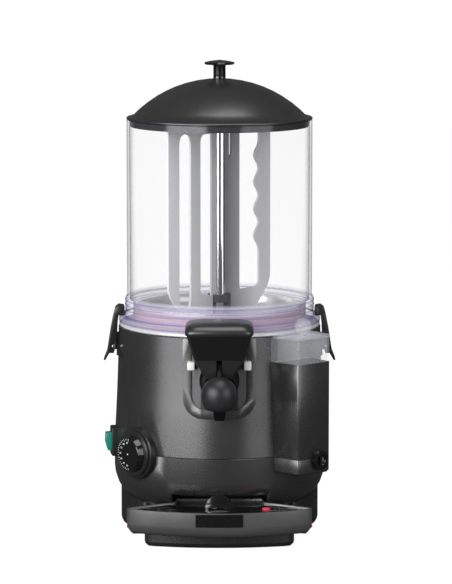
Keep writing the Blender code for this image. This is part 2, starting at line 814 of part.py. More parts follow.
def build_bowl():
    outer = [(BOWL_RADIUS, BOWL_RIM)] + [(x, z - BOWL_WALL / 2) for x, z in bowl_curve(0)]
    outer[-1] = (SUMP_RADIUS, SUMP_TOP - BOWL_WALL)
    outer += [(SUMP_RADIUS, SUMP_FLOOR), (SHAFT_SLEEVE_RADIUS, SUMP_FLOOR)]
    inner = [(SHAFT_SLEEVE_RADIUS, SUMP_FLOOR + BOWL_WALL), (SUMP_RADIUS - BOWL_WALL, SUMP_FLOOR + BOWL_WALL)]
    inner += [(x - BOWL_WALL, z) for x, z in reversed(bowl_curve(BOWL_WALL / 2)[:-1])]
    inner.insert(2, (SUMP_RADIUS - BOWL_WALL, SUMP_TOP))
    inner[-1] = (BOWL_RADIUS - BOWL_WALL, BOWL_STRAIGHT)
    inner.append((BOWL_RADIUS - BOWL_WALL, BOWL_RIM))
    bowl = turned("bowl", outer + inner, STEEL)
    outlet = rod("outlet_blank", OUTLET_RADIUS, SUMP_RADIUS - BOWL_WALL / 2, BARREL_REAR - GAP,
                 matrix=moved(z=OUTLET_HEIGHT) @ ALONG_Y)
    bore = rod("outlet_bore", OUTLET_RADIUS - OUTLET_WALL, SUMP_RADIUS - OVERRUN, BARREL_REAR + OVERRUN,
               matrix=moved(z=OUTLET_HEIGHT) @ ALONG_Y)
    combine(bowl, outlet, "UNION")
    cut(bowl, bore)

    top = BODY_TOP + GAP + TOP_RING_THICKNESS
    turned("bowl_top_ring", [
        (SEAL_INNER, top), (TOP_RING_RADIUS - TOP_RING_ROUND, top), (TOP_RING_RADIUS, top - TOP_RING_ROUND),
        (TOP_RING_RADIUS, BODY_TOP + GAP + TOP_RING_ROUND), (TOP_RING_RADIUS - TOP_RING_ROUND, BODY_TOP + GAP),
        (SEAL_INNER, BODY_TOP + GAP),
    ], STEEL)

    turned("bowl_shaft_seal", [
        (SHAFT_SLEEVE_RADIUS - GAP, SUMP_FLOOR + SHAFT_SEAL_HEIGHT), (SHAFT_SLEEVE_RADIUS - GAP, SUMP_FLOOR),
        (SHAFT_RADIUS + GAP, SUMP_FLOOR), (SHAFT_RADIUS + GAP, SUMP_FLOOR + SHAFT_SEAL_HEIGHT),
    ], RED_RUBBER, SMALL_STEPS)

    tank_top = BODY_TOP - GAP
    tank = turned("bain_marie_tank", [
        (TANK_RADIUS, tank_top), (TANK_RADIUS, TANK_BOTTOM), (TANK_SLEEVE_RADIUS, TANK_BOTTOM),
        (TANK_SLEEVE_RADIUS, SUMP_FLOOR - GAP), (TANK_SLEEVE_RADIUS + TANK_WALL, SUMP_FLOOR - GAP),
        (TANK_SLEEVE_RADIUS + TANK_WALL, TANK_BOTTOM + TANK_WALL),
        (TANK_RADIUS - TANK_WALL, TANK_BOTTOM + TANK_WALL), (TANK_RADIUS - TANK_WALL, tank_top),
    ], STEEL)
    cut(tank, rod("tank_outlet_hole", OUTLET_RADIUS + GAP, TANK_RADIUS - OVERRUN, TANK_RADIUS + OVERRUN,
                  matrix=moved(z=OUTLET_HEIGHT) @ ALONG_Y))

    spread = math.radians(HEATER_SWEEP)
    start = math.radians(90) + (2 * math.pi - spread) / 2
    path = []
    for step in range(HEATER_POINTS + 1):
        turn = start + spread * step / HEATER_POINTS
        path.append((HEATER_RING_RADIUS * math.cos(turn), HEATER_RING_RADIUS * math.sin(turn), HEATER_HEIGHT))
    path = [(*path[0][:2], HEATER_HEIGHT - HEATER_TAIL)] + path + [(*path[-1][:2], HEATER_HEIGHT - HEATER_TAIL)]
    tube("heating_element", path, HEATER_TUBE_RADIUS, STEEL)
    for step, end in enumerate((path[0], path[-1])):
        hole = rod(f"heater_hole_{step}", HEATER_TUBE_RADIUS + GAP, TANK_BOTTOM - OVERRUN,
                   TANK_BOTTOM + OVERRUN, matrix=moved(end[0], end[1]))
        cut(tank, hole)


def stirrer_outline():
    """The stirrer sheet's outer edge, in its own plane, with the bowl's funnel followed at the foot."""
    points = rounded([
        (-STIRRER_HALF, STIRRER_TOP, 0.0), (-STIRRER_HALF, STIRRER_SHOULDER, SHOULDER_CORNER),
        (-STIRRER_FOOT_HALF, STIRRER_FOOT, 0.0), (STIRRER_FOOT_HALF, STIRRER_FOOT, 0.0),
        (STIRRER_HALF, STIRRER_SHOULDER, SHOULDER_CORNER), (STIRRER_HALF, STIRRER_TOP, 0.0),
    ], CORNER_FINE)
    return points


def slot(left, right, bottom, top, steps=4):
    """An upright slot with round ends."""
    radius = (right - left) / 2
    middle = (left + right) / 2
    return (arc((middle, top - radius), radius, 0, 180, steps)
            + arc((middle, bottom + radius), radius, 180, 360, steps))


def wavy_window():
    """The window whose outer side carries the rounded waves of the stirrer."""
    waves = []
    for step in range(WAVE_COUNT * WAVE_STEPS + 1):
        turns = step / WAVE_STEPS
        bulge = WAVE_DEPTH * (1 - math.cos(2 * math.pi * turns))
        waves.append((WINDOW_OUTER - bulge, WAVE_TOP - WAVE_PITCH * (WAVE_COUNT - turns), 0.0))
    return rounded([(WINDOW_INNER, WINDOW_BOTTOM, WINDOW_CORNER), (WINDOW_OUTER, WINDOW_BOTTOM, GAP_CORNER)]
                   + waves
                   + [(WINDOW_OUTER, WINDOW_TOP, WINDOW_CORNER), (WINDOW_INNER, WINDOW_TOP, WINDOW_CORNER)])


def build_stirrer():
    turn = Matrix.Rotation(math.radians(STIRRER_TURN), 4, "Z")
    spin = axis_empty("stirrer_axis", (0, 0, 0), turn)
    upright = ALONG_Y
    gap = rounded([(-GAP_LEFT_OUTER, GAP_BOTTOM, GAP_CORNER), (-GAP_INNER, GAP_BOTTOM, SMALL_CORNER),
                   (-GAP_INNER, GAP_TOP, SMALL_CORNER), (-GAP_LEFT_OUTER, GAP_TOP, GAP_CORNER)])
    right_gap = rounded([
        (GAP_INNER, RIGHT_GAP_BOTTOM, 0.0), (RIGHT_GAP_OUTER, RIGHT_GAP_BOTTOM + RIGHT_GAP_STEP, 0.0),
        (RIGHT_GAP_OUTER, RIGHT_GAP_TOP, SMALL_CORNER), (GAP_INNER, RIGHT_GAP_TOP, SMALL_CORNER)])
    sheet = pierced("stirrer_plate", [
        stirrer_outline(), slot(-BAR_LEFT_OUTER, -BAR_LEFT_INNER, SLOT_BOTTOM, SLOT_TOP), gap, right_gap,
        wavy_window(),
    ], STIRRER_SHEET, BRUSHED, spin, upright)
    bore = rod("stirrer_tube_bore", TUBE_RADIUS + GAP, HUB_TOP - GAP, TUBE_TOP + GAP, parent=spin,
               steps=MID_STEPS)
    hub_bore = rod("stirrer_hub_bore", HUB_RADIUS + GAP, STIRRER_FOOT - OVERRUN, HUB_TOP + GAP, parent=spin,
                   steps=MID_STEPS)
    cut(sheet, bore, hub_bore)

    inner = TUBE_RADIUS - TUBE_WALL
    turned("stirrer_tube", [
        (0, TUBE_TOP), (TUBE_RADIUS, TUBE_TOP), (TUBE_RADIUS, SLEEVE_TOP), (SLEEVE_RADIUS, SLEEVE_TOP),
        (SLEEVE_RADIUS, SLEEVE_BOTTOM), (inner, SLEEVE_BOTTOM), (inner, TUBE_TOP - TUBE_WALL),
        (0, TUBE_TOP - TUBE_WALL),
    ], STEEL, MID_STEPS, spin)
    hub_inner = SLEEVE_RADIUS + GAP
    foot_inner = SHAFT_RADIUS + GAP
    hub = turned("stirrer_hub", [
        (HUB_RADIUS, HUB_TOP), (HUB_RADIUS, HUB_BOTTOM), (foot_inner, HUB_BOTTOM),
        (foot_inner, SLEEVE_BOTTOM - GAP), (hub_inner, SLEEVE_BOTTOM - GAP), (hub_inner, SLEEVE_TOP + GAP),
        (TUBE_RADIUS + GAP, SLEEVE_TOP + GAP), (TUBE_RADIUS + GAP, HUB_TOP),
    ], BLACK_PLASTIC, MID_STEPS, spin)
    window = box("hub_window", (-HUB_WINDOW_HALF, -HUB_RADIUS - OVERRUN, SLEEVE_BOTTOM + GAP),
                 (HUB_WINDOW_HALF, 0, SLEEVE_TOP - GAP), parent=MACHINE)
    cut(hub, window)
    turned("drive_shaft", [
        (0, SHAFT_TOP), (SHAFT_RADIUS - EDGE_BREAK, SHAFT_TOP), (SHAFT_RADIUS, SHAFT_TOP - EDGE_BREAK),
        (SHAFT_RADIUS, GEARBOX_TOP + GEARBOX_BOSS_HEIGHT + GAP),
        (0, GEARBOX_TOP + GEARBOX_BOSS_HEIGHT + GAP),
    ], STEEL, SMALL_STEPS, spin)


def build_drive():
    low = GEARBOX_TOP - GEARBOX_HEIGHT
    gearmotor = box("gearmotor", (-GEARBOX_WIDTH / 2, -GEARBOX_LENGTH / 2, low),
                    (GEARBOX_WIDTH / 2, GEARBOX_LENGTH / 2, GEARBOX_TOP), BRUSHED)
    boss = rod("gearbox_boss", GEARBOX_BOSS_RADIUS, GEARBOX_TOP - OVERRUN, GEARBOX_TOP + GEARBOX_BOSS_HEIGHT)
    can = rod("motor_can", MOTOR_RADIUS, MOTOR_BOTTOM, low + OVERRUN, matrix=moved(y=MOTOR_OFFSET),
              steps=MID_STEPS)
    combine(gearmotor, boss, "UNION")
    combine(gearmotor, can, "UNION")
    reach = swell(low) - BODY_WALL - GAP
    bracket = box("motor_bracket", (-BRACKET_WIDTH / 2, -reach - BODY_WALL, low - GAP - BRACKET_THICKNESS),
                  (BRACKET_WIDTH / 2, reach + BODY_WALL, low - GAP), STEEL)
    inside = turned("bracket_limit", [(0, low), (reach, low), (reach, low - OVERRUN), (0, low - OVERRUN)])
    combine(bracket, inside, "INTERSECT")
    cut(bracket, rod("bracket_hole", MOTOR_RADIUS + GAP, low - 2 * OVERRUN, low + OVERRUN,
                     matrix=moved(y=MOTOR_OFFSET), steps=MID_STEPS))


def build_body():
    outer = upper_profile()
    outer[-1] = (outer[-1][0] - EDGE_BREAK, SEAM_HEIGHT)
    outer.insert(-1, (swell(SEAM_HEIGHT + EDGE_BREAK), SEAM_HEIGHT + EDGE_BREAK))
    outer[0] = (BODY_TOP_RADIUS - EDGE_BREAK, BODY_TOP)
    outer.insert(1, (BODY_TOP_RADIUS, BODY_TOP - EDGE_BREAK))
    inner = [(radius - BODY_WALL, height) for radius, height in upper_profile()]
    inner[0] = (inner[0][0], BODY_TOP - BODY_WALL)
    flange = [(BODY_FLANGE_RADIUS, BODY_TOP - BODY_WALL), (BODY_FLANGE_RADIUS, BODY_TOP)]
    upper = turned("body_upper_shell", outer + inner[::-1] + flange, BLACK_PLASTIC)

    seam = SEAM_HEIGHT - GAP
    belly = belly_profile()
    hollow = [(radius - BODY_WALL, height) for radius, height in belly_profile(0, 4)]
    hollow = [(radius, max(height, BELLY_BOTTOM + BODY_WALL)) for radius, height in hollow]
    floor = [(BELLY_HOLE, BELLY_BOTTOM), (BELLY_HOLE, BELLY_BOTTOM + BODY_WALL)]
    lower = turned("body_lower_shell", [
        (SEAM_RADIUS - BODY_WALL, seam), (SEAM_RADIUS - EDGE_BREAK, seam), (SEAM_RADIUS, seam - EDGE_BREAK),
    ] + belly + floor + hollow[::-1], BLACK_PLASTIC)
    block = box("pocket_block", (-POCKET_HALF - POCKET_WALL, -SEAM_RADIUS - OVERRUN, BELLY_BOTTOM),
                (POCKET_HALF + POCKET_WALL, -POCKET_REAR + POCKET_WALL, POCKET_TOP + POCKET_WALL))
    combine(block, turned("pocket_limit", [(0, BELLY_START)] + belly + [(0, BELLY_BOTTOM)]), "INTERSECT")
    combine(lower, block, "UNION")
    cut(lower, box("pocket_space", (-POCKET_HALF, -SEAM_RADIUS - OVERRUN, BELLY_BOTTOM - OVERRUN),
                   (POCKET_HALF, -POCKET_REAR, POCKET_TOP)))
    cut(upper, rod("tap_hole", BARREL_RADIUS + GAP, BODY_TOP_RADIUS - 2 * OVERRUN, SEAM_RADIUS + OVERRUN,
                   matrix=moved(z=OUTLET_HEIGHT) @ ALONG_Y, steps=MID_STEPS))
    return upper, lower


def pedestal_plan(inset=0.0):
    outline = rounded([
        (-PEDESTAL_HALF, -PEDESTAL_FRONT, PEDESTAL_FRONT_CORNER),
        (PEDESTAL_HALF, -PEDESTAL_FRONT, PEDESTAL_FRONT_CORNER),
        (PEDESTAL_HALF, PEDESTAL_REAR, PEDESTAL_REAR_CORNER),
        (-PEDESTAL_HALF, PEDESTAL_REAR, PEDESTAL_REAR_CORNER),
    ], CORNER_FINE)
    return offset(outline, -inset)


def filleted_rings(outline_at, bottom, fillet, top):
    """Rings up a wall whose foot is rounded; outline_at gives the outline at an inset."""
    rings = []
    for step in range(CORNER_STEPS + 1):
        turn = math.radians(90 * step / CORNER_STEPS)
        inset = fillet * (1 - math.sin(turn))
        rings.append(level(outline_at(inset), bottom + fillet * (1 - math.cos(turn))))
    return rings + [level(outline_at(0), top)]


def build_pedestal():
    pedestal = lofted("pedestal_base", filleted_rings(pedestal_plan, PEDESTAL_BOTTOM, PEDESTAL_FILLET,
                                                      PEDESTAL_TOP), BLACK_PLASTIC)
    opening = pedestal_plan(PEDESTAL_RIM)
    inside = pedestal_plan(PEDESTAL_WALL)
    hollow = lofted("pedestal_hollow", [
        level(opening, PEDESTAL_BOTTOM - OVERRUN), level(opening, PEDESTAL_RIM_TOP),
        level(inside, PEDESTAL_RIM_TOP), level(inside, PEDESTAL_TOP - PEDESTAL_WALL)])
    cut(hollow, body_cutter("pedestal_cup", GAP + PEDESTAL_WALL))
    belly = body_cutter("pedestal_seat", GAP)
    pocket = box("pedestal_pocket", (-POCKET_HALF - POCKET_WALL, -SEAM_RADIUS, BELLY_BOTTOM - GAP),
                 (POCKET_HALF + POCKET_WALL, -PEDESTAL_FRONT + OVERRUN, PEDESTAL_TOP + OVERRUN))
    cut(pedestal, belly, hollow, pocket)

    radius = (FOOT_HALF ** 2 + FOOT_SAGITTA ** 2) / (2 * FOOT_SAGITTA)
    half = math.degrees(math.asin((FOOT_HALF - FOOT_CORNER) / radius))
    front = arc((0, radius - FOOT_FRONT), radius, -90 - half, -90 + half, FOOT_ARC_STEPS)
    rear = -PEDESTAL_FRONT - GAP
    corner = front[-1][1] + FOOT_CORNER
    side = [(FOOT_HALF - FOOT_CORNER / 4, corner - FOOT_CORNER * 0.7), (FOOT_HALF, corner),
            (FOOT_HALF, rear), (-FOOT_HALF, rear), (-FOOT_HALF, corner),
            (-FOOT_HALF + FOOT_CORNER / 4, corner - FOOT_CORNER * 0.7)]
    outline = front + side
    lofted("front_foot", filleted_rings(lambda inset: offset(outline, -inset), FOOT_BOTTOM, FOOT_FILLET,
                                        FOOT_HEIGHT), BLACK_PLASTIC)

    for end, x, y in (("front", RUBBER_SIDE, RUBBER_FRONT), ("rear", RUBBER_REAR_SIDE, RUBBER_REAR)):
        for side, name in ((-1, "left"), (1, "right")):
            rod(f"rubber_foot_{end}_{name}", RUBBER_RADIUS, 0, PEDESTAL_BOTTOM - GAP, RED_RUBBER,
                matrix=moved(side * x, y))
    return pedestal


def build_rear(pedestal):
    """The rear vent panel on the pedestal, its screws and the cable gland."""
    rear = PEDESTAL_REAR + GAP
    upright = moved(y=rear + PANEL_THICKNESS / 2) @ ALONG_Y
    outline = rounded([(-PANEL_HALF, PANEL_BOTTOM, PANEL_CORNER), (PANEL_HALF, PANEL_BOTTOM, PANEL_CORNER),
                       (PANEL_HALF, PANEL_TOP, PANEL_CORNER), (-PANEL_HALF, PANEL_TOP, PANEL_CORNER)])
    slots = []
    middle = (PANEL_BOTTOM + PANEL_TOP) / 2
    for row in range(VENT_COUNT):
        height = middle + (row - (VENT_COUNT - 1) / 2) * VENT_PITCH
        low, high = height - VENT_HEIGHT / 2, height + VENT_HEIGHT / 2
        slots.append([(VENT_SIDE - VENT_HALF, low), (VENT_SIDE + VENT_HALF, low),
                      (VENT_SIDE + VENT_HALF, high), (VENT_SIDE - VENT_HALF, high)])
    gland_hole = arc((GLAND_SIDE, GLAND_HEIGHT), GLAND_NOSE_RADIUS + GAP, 0, 360, SMALL_STEPS)[:-1]
    plate("rear_vent_panel", [outline, gland_hole] + slots, PANEL_THICKNESS, BRUSHED, matrix=upright)

    seat = PANEL_THICKNESS + 2 * GAP
    nose = PANEL_THICKNESS + GAP + GLAND_LENGTH
    turned("cable_gland", [
        (GLAND_BORE, nose), (GLAND_NOSE_RADIUS, nose),
        (GLAND_NOSE_RADIUS + EDGE_BREAK, seat + GLAND_FLANGE), (GLAND_RADIUS, seat + GLAND_FLANGE),
        (GLAND_RADIUS, seat), (GLAND_NOSE_RADIUS, seat), (GLAND_NOSE_RADIUS, GAP), (GLAND_BORE, GAP),
    ], BLACK_PLASTIC, SMALL_STEPS, matrix=moved(GLAND_SIDE, PEDESTAL_REAR, GLAND_HEIGHT) @ ALONG_Y.inverted())
    entry = rod("gland_entry", GLAND_BORE, PEDESTAL_REAR - PEDESTAL_WALL - OVERRUN, PEDESTAL_REAR + OVERRUN,
                matrix=moved(GLAND_SIDE, 0, GLAND_HEIGHT) @ ALONG_Y.inverted())
    cut(pedestal, entry)


def tap_shape(half, bottom, top, corner, extra=0.0):
    """The upright U outline that the escutcheon and the mount plate share, in (x, z)."""
    corners = [(-half, bottom, corner), (half, bottom, corner), (half, top, 0.0), (-half, top, 0.0)]
    return offset(rounded(corners, CORNER_FINE), extra)


def skin_plate(name, outline, proud, look):
    """A plate of an upright outline that follows the body's skin."""
    deep = SEAM_RADIUS - BODY_TOP_RADIUS + 12 * OVERRUN
    piece = plate(name, [outline], deep, look, matrix=moved(y=-SEAM_RADIUS) @ ALONG_Y)
    skin = [(radius + GAP, height) for radius, height in upper_profile()]
    face = [(radius + proud, height) for radius, height in upper_profile()]
    skin[0] = (skin[0][0], BODY_TOP + OVERRUN)
    face[0] = (face[0][0], BODY_TOP + OVERRUN)
    layer = turned(name + "_layer", face + skin[::-1])
    return combine(piece, layer, "INTERSECT")


def build_tap():
    escutcheon = skin_plate("tap_escutcheon", tap_shape(ESCUTCHEON_HALF, ESCUTCHEON_BOTTOM, BODY_TOP - GAP,
                                                        ESCUTCHEON_CORNER), ESCUTCHEON_PROUD, BLACK_PLASTIC)
    opening = plate("escutcheon_opening", [tap_shape(MOUNT_HALF, MOUNT_BOTTOM, MOUNT_TOP, MOUNT_CORNER,
                                                     MOUNT_GROOVE)],
                    SEAM_RADIUS, matrix=moved(y=-SEAM_RADIUS) @ ALONG_Y)
    cut(escutcheon, opening)
    mount = skin_plate("tap_mount_plate", tap_shape(MOUNT_HALF, MOUNT_BOTTOM, MOUNT_TOP, MOUNT_CORNER),
                       MOUNT_PROUD, BLACK_PLASTIC)
    cut(mount, rod("mount_hole", BARREL_RADIUS + BARREL_RELIEF, BODY_TOP_RADIUS - 2 * OVERRUN,
                   SEAM_RADIUS + 2 * OVERRUN, matrix=moved(z=OUTLET_HEIGHT) @ ALONG_Y, steps=MID_STEPS))

    barrel_axis = moved(z=OUTLET_HEIGHT) @ ALONG_Y
    upright = moved(y=-CHAMBER_SET)
    valve = rod("tap_valve_body", BARREL_RADIUS, BARREL_REAR, BARREL_FRONT, BLACK_GLOSS, matrix=barrel_axis,
                steps=MID_STEPS)
    combine(valve, rod("chamber_blank", CHAMBER_RADIUS, CHAMBER_BOTTOM, CHAMBER_TOP, matrix=upright), "UNION")
    combine(valve, box("chamber_web", (-CHAMBER_RADIUS / 2, -CHAMBER_SET, CHAMBER_BOTTOM + OVERRUN),
                       (CHAMBER_RADIUS / 2, -BARREL_FRONT + OVERRUN, CHAMBER_TOP - OVERRUN)), "UNION")
    cut(valve, rod("chamber_bore", CHAMBER_BORE, CHAMBER_BOTTOM - OVERRUN, CHAMBER_TOP - CHAMBER_CAP,
                   matrix=upright))
    cut(valve, rod("cap_hole", PLUNGER_NECK + GAP, CHAMBER_BOTTOM, CHAMBER_TOP + OVERRUN, matrix=upright))
    cut(valve, rod("barrel_bore", BARREL_BORE / 2, BARREL_REAR - OVERRUN, CHAMBER_SET, matrix=barrel_axis,
                   steps=TINY_STEPS))

    nozzle_top = CHAMBER_BOTTOM - GAP
    turned("tap_nozzle", [
        (NOZZLE_BORE, nozzle_top), (NOZZLE_RADIUS, nozzle_top), (NOZZLE_RADIUS, nozzle_top - OVERRUN),
        (NOZZLE_TIP_RADIUS, NOZZLE_BOTTOM), (NOZZLE_BORE, NOZZLE_BOTTOM),
    ], STEEL, SMALL_STEPS, matrix=upright)

    plunger = turned("tap_plunger", [
        (0, YOKE_BOTTOM + OVERRUN), (PLUNGER_NECK, YOKE_BOTTOM + OVERRUN), (PLUNGER_NECK, PLUNGER_SHOULDER),
        (PLUNGER_RADIUS, PLUNGER_SHOULDER), (PLUNGER_RADIUS, PLUNGER_SEAL_HEIGHT + PLUNGER_SEAL_TUBE + GAP),
        (PLUNGER_RADIUS - PLUNGER_SEAL_TUBE, PLUNGER_SEAL_HEIGHT + PLUNGER_SEAL_TUBE + GAP),
        (PLUNGER_RADIUS - PLUNGER_SEAL_TUBE, PLUNGER_SEAL_HEIGHT - PLUNGER_SEAL_TUBE - GAP),
        (PLUNGER_RADIUS, PLUNGER_SEAL_HEIGHT - PLUNGER_SEAL_TUBE - GAP),
        (PLUNGER_RADIUS, PLUNGER_BOTTOM + EDGE_BREAK), (PLUNGER_RADIUS - EDGE_BREAK, PLUNGER_BOTTOM),
        (0, PLUNGER_BOTTOM),
    ], BLACK_GLOSS, SMALL_STEPS, matrix=upright)
    yoke = box("yoke_blank", (-YOKE_WIDTH / 2, -YOKE_DEPTH / 2, YOKE_BOTTOM),
               (YOKE_WIDTH / 2, YOKE_DEPTH / 2, YOKE_TOP), matrix=upright)
    combine(plunger, yoke, "UNION")
    slot_half = LEVER_THICKNESS / 2 + GAP
    cut(plunger, box("yoke_slot", (-slot_half, -YOKE_DEPTH, YOKE_BOTTOM + EDGE_BREAK * 2),
                     (slot_half, YOKE_DEPTH, YOKE_TOP + OVERRUN), matrix=upright))
    play = PIN_RADIUS + PIN_PLAY
    cut(plunger, box("yoke_pin_slot", (-YOKE_WIDTH, -play - PIN_PLAY, PIVOT_HEIGHT - PIN_RADIUS - GAP * 2),
                     (YOKE_WIDTH, play + PIN_PLAY, PIVOT_HEIGHT + PIN_RADIUS + GAP * 2), matrix=upright))
    seal_outer = CHAMBER_BORE - GAP
    seal_inner = PLUNGER_RADIUS - PLUNGER_SEAL_TUBE + GAP
    turned("tap_plunger_seal", [
        (seal_outer, PLUNGER_SEAL_HEIGHT + PLUNGER_SEAL_TUBE / 2),
        (seal_outer, PLUNGER_SEAL_HEIGHT - PLUNGER_SEAL_TUBE / 2),
        (seal_inner, PLUNGER_SEAL_HEIGHT - PLUNGER_SEAL_TUBE),
        (seal_inner, PLUNGER_SEAL_HEIGHT + PLUNGER_SEAL_TUBE),
    ], RED_RUBBER, SMALL_STEPS, matrix=upright)
    build_spring(upright)
    build_lever()
    build_hood()


def build_spring(upright):
    """The coil spring between the plunger's shoulder and the chamber's cap, one unbroken wire."""
    low = PLUNGER_SHOULDER + GAP + SPRING_WIRE
    high = CHAMBER_TOP - CHAMBER_CAP - GAP - SPRING_WIRE
    count = SPRING_TURNS * SPRING_CURL_POINTS
    path = []
    for step in range(count + 1):
        turn = 2 * math.pi * step / SPRING_CURL_POINTS
        path.append((SPRING_RADIUS * math.cos(turn), SPRING_RADIUS * math.sin(turn),
                     low + (high - low) * step / count))
    half = SPRING_CURL_POINTS // 2
    apart = [(Vector(a) - Vector(b)).length for index, a in enumerate(path) for b in path[index + half:]]
    print("tap_spring least gap to itself, m:", round(min(apart) - 2 * SPRING_WIRE, 5))
    tube("tap_spring", path, SPRING_WIRE, STEEL, matrix=upright)


def build_lever():
    """The lever arm on its pivot, its knob and its two pins; side outlines are in (y, z)."""
    pivot = axis_empty("tap_lever_axis", (0, -PIVOT_SET, PIVOT_HEIGHT))
    sideways = Matrix(((0, 0, -1, 0), (-1, 0, 0, 0), (0, 1, 0, 0), (0, 0, 0, 1)))
    ahead = LEVER_LINK
    knob_ahead = KNOB_BALL_SET - PIVOT_SET
    knob_drop = KNOB_BALL_HEIGHT - PIVOT_HEIGHT
    socket_top = knob_drop + KNOB_BALL_RADIUS - KNOB_SOCKET_DEPTH
    back = LEVER_HUB * LEVER_TONGUE_SHARES[0]
    front = LEVER_HUB * LEVER_TONGUE_SHARES[1]
    under = [(LEVER_HUB * out, -LEVER_HUB * down, LEVER_HUB * turn) for out, down, turn in LEVER_UNDER_SHARES]
    over = [(LEVER_HUB * out, -LEVER_HUB * down, LEVER_HUB * turn) for out, down, turn in LEVER_OVER_SHARES]
    arm = rounded([(-LEVER_HUB, -LEVER_HUB, LEVER_HUB * 0.9)] + under
                  + [(back, socket_top, 0.0), (front, socket_top, 0.0)] + over
                  + [(-LEVER_HUB, LEVER_HUB, LEVER_HUB * 0.9)])
    lever = plate("tap_lever", [arm], LEVER_THICKNESS, STEEL, pivot, sideways)
    for name, set_back in (("lever_pivot_hole", 0.0), ("lever_link_hole", ahead)):
        cut(lever, rod(name, PIN_RADIUS + GAP, -YOKE_WIDTH, YOKE_WIDTH, parent=pivot,
                       matrix=moved(y=-set_back) @ ALONG_X, steps=TINY_STEPS))
    rod("lever_link_pin", PIN_RADIUS, -YOKE_WIDTH / 2, YOKE_WIDTH / 2, STEEL, pivot,
        moved(y=-ahead) @ ALONG_X, TINY_STEPS)
    rod("lever_pivot_pin", PIN_RADIUS, -PIVOT_PIN_REACH, PIVOT_PIN_REACH, STEEL, None,
        moved(y=-PIVOT_SET, z=PIVOT_HEIGHT) @ ALONG_X, TINY_STEPS)

    top = arc((0, 0), KNOB_BALL_RADIUS, 90, 0, 6)
    foot = [(KNOB_BALL_RADIUS * wide, -KNOB_BALL_FOOT * deep) for deep, wide in BALL_FOOT_SHARES]
    ball = turned("tap_lever_knob", [(0, top[0][1])] + top[1:] + foot + [(0, -KNOB_BALL_FOOT)], BLACK_GLOSS,
                  MID_STEPS, pivot, moved(y=-knob_ahead, z=knob_drop))
    large = 2 * KNOB_BALL_RADIUS
    cut(ball, box("knob_back", (-large, KNOB_BALL_BACK, -large), (large, large, large), parent=pivot,
                  matrix=moved(y=-knob_ahead, z=knob_drop)))
    cut(ball, box("knob_socket", (-LEVER_THICKNESS / 2 - GAP, -front - GAP, socket_top - GAP),
                  (LEVER_THICKNESS / 2 + GAP, -back + GAP + OVERRUN, 0), parent=pivot))


def hood_rings(wall=0.0, drop=0.0):
    rings = []
    for height, half, front, corner in HOOD_SHARES:
        x = HOOD_HALF * half - wall
        y = HOOD_FRONT * front - wall
        outline = rounded([(-x, -y, HOOD_HALF * corner * 0.8), (x, -y, HOOD_HALF * corner * 0.8),
                           (x, -HOOD_REAR + drop, 0.0), (-x, -HOOD_REAR + drop, 0.0)])
        rings.append(level(outline, HOOD_LIFT + HOOD_HEIGHT * height - wall))
    return rings


def hood_at(height, column):
    """The hood's half width (column 1) or front (column 2) share at a height."""
    share = (height - HOOD_LIFT) / HOOD_HEIGHT
    for below, above in zip(HOOD_SHARES, HOOD_SHARES[1:]):
        if below[0] <= share <= above[0]:
            part = (share - below[0]) / (above[0] - below[0])
            return below[column] + (above[column] - below[column]) * part
    return 1.0


def build_hood():
    hood = lofted("tap_hood", hood_rings(), BLACK_PLASTIC)
    inside = hood_rings(HOOD_WALL, OVERRUN)
    inside.insert(0, [(x, y, HOOD_LIFT - OVERRUN) for x, y, _ in inside[0]])
    hollow = lofted("hood_hollow", inside)
    skin = body_cutter("hood_skin", MOUNT_PROUD + GAP)
    flange = rod("hood_flange", FLANGE_RADIUS + HOOD_FLANGE_GAP, BODY_TOP - OVERRUN, CONTAINER_TOP,
                 steps=RING_STEPS)
    slot_box = box("hood_slot", (-HOOD_SLOT_HALF, -HOOD_FRONT - OVERRUN, HOOD_LIFT - OVERRUN),
                   (HOOD_SLOT_HALF, -CHAMBER_SET, HOOD_SLOT_TOP))
    barrel = rod("hood_barrel", BARREL_RADIUS + GAP, BARREL_REAR, BARREL_FRONT + GAP,
                 matrix=moved(z=OUTLET_HEIGHT) @ ALONG_Y, steps=MID_STEPS)
    cut(hood, hollow, skin, flange, slot_box, barrel)
    wall = HOOD_HALF * hood_at(PIVOT_HEIGHT, 1) - HOOD_WALL
    for side_share in (-1, 1):
        inner = (YOKE_WIDTH / 2 + 2 * GAP) * side_share
        outer = (wall + HOOD_WALL / 2) * side_share
        boss = rod(f"pivot_boss_{side_share}", LEVER_HUB, min(inner, outer), max(inner, outer),
                   matrix=moved(y=-PIVOT_SET, z=PIVOT_HEIGHT) @ ALONG_X)
        combine(hood, boss, "UNION")
    cut(hood, rod("hood_pin_hole", PIN_RADIUS + GAP, -PIVOT_PIN_REACH - GAP, PIVOT_PIN_REACH + GAP,
                  matrix=moved(y=-PIVOT_SET, z=PIVOT_HEIGHT) @ ALONG_X, steps=TINY_STEPS))

    def slice_at(height, half, proud):
        y = -HOOD_FRONT * hood_at(height, 2) - GAP
        return [(-half, y, height), (half, y, height), (half, y - proud, height), (-half, y - proud, height)]

    lofted("tap_face_plate", [slice_at(FACE_PLATE_BOTTOM, FACE_PLATE_BOTTOM_HALF, FACE_PLATE_THICKNESS),
                              slice_at(FACE_PLATE_TOP, FACE_PLATE_TOP_HALF, FACE_PLATE_THICKNESS)], BLACK_GLOSS)

    for side, name in ((-1, "left"), (1, "right")):
        clip = box(f"tap_clip_{name}", (-CLIP_WIDTH / 2, -CLIP_FRONT, CLIP_HEIGHT - CLIP_TALL / 2),
                   (CLIP_WIDTH / 2, -CLIP_REAR, CLIP_HEIGHT + CLIP_TALL / 2), WHITE_PLASTIC,
                   matrix=moved(side * CLIP_SIDE), bevel=CLIP_ROUND, segments=2)
        cut(clip, body_cutter(f"clip_skin_{name}", MOUNT_PROUD + GAP))


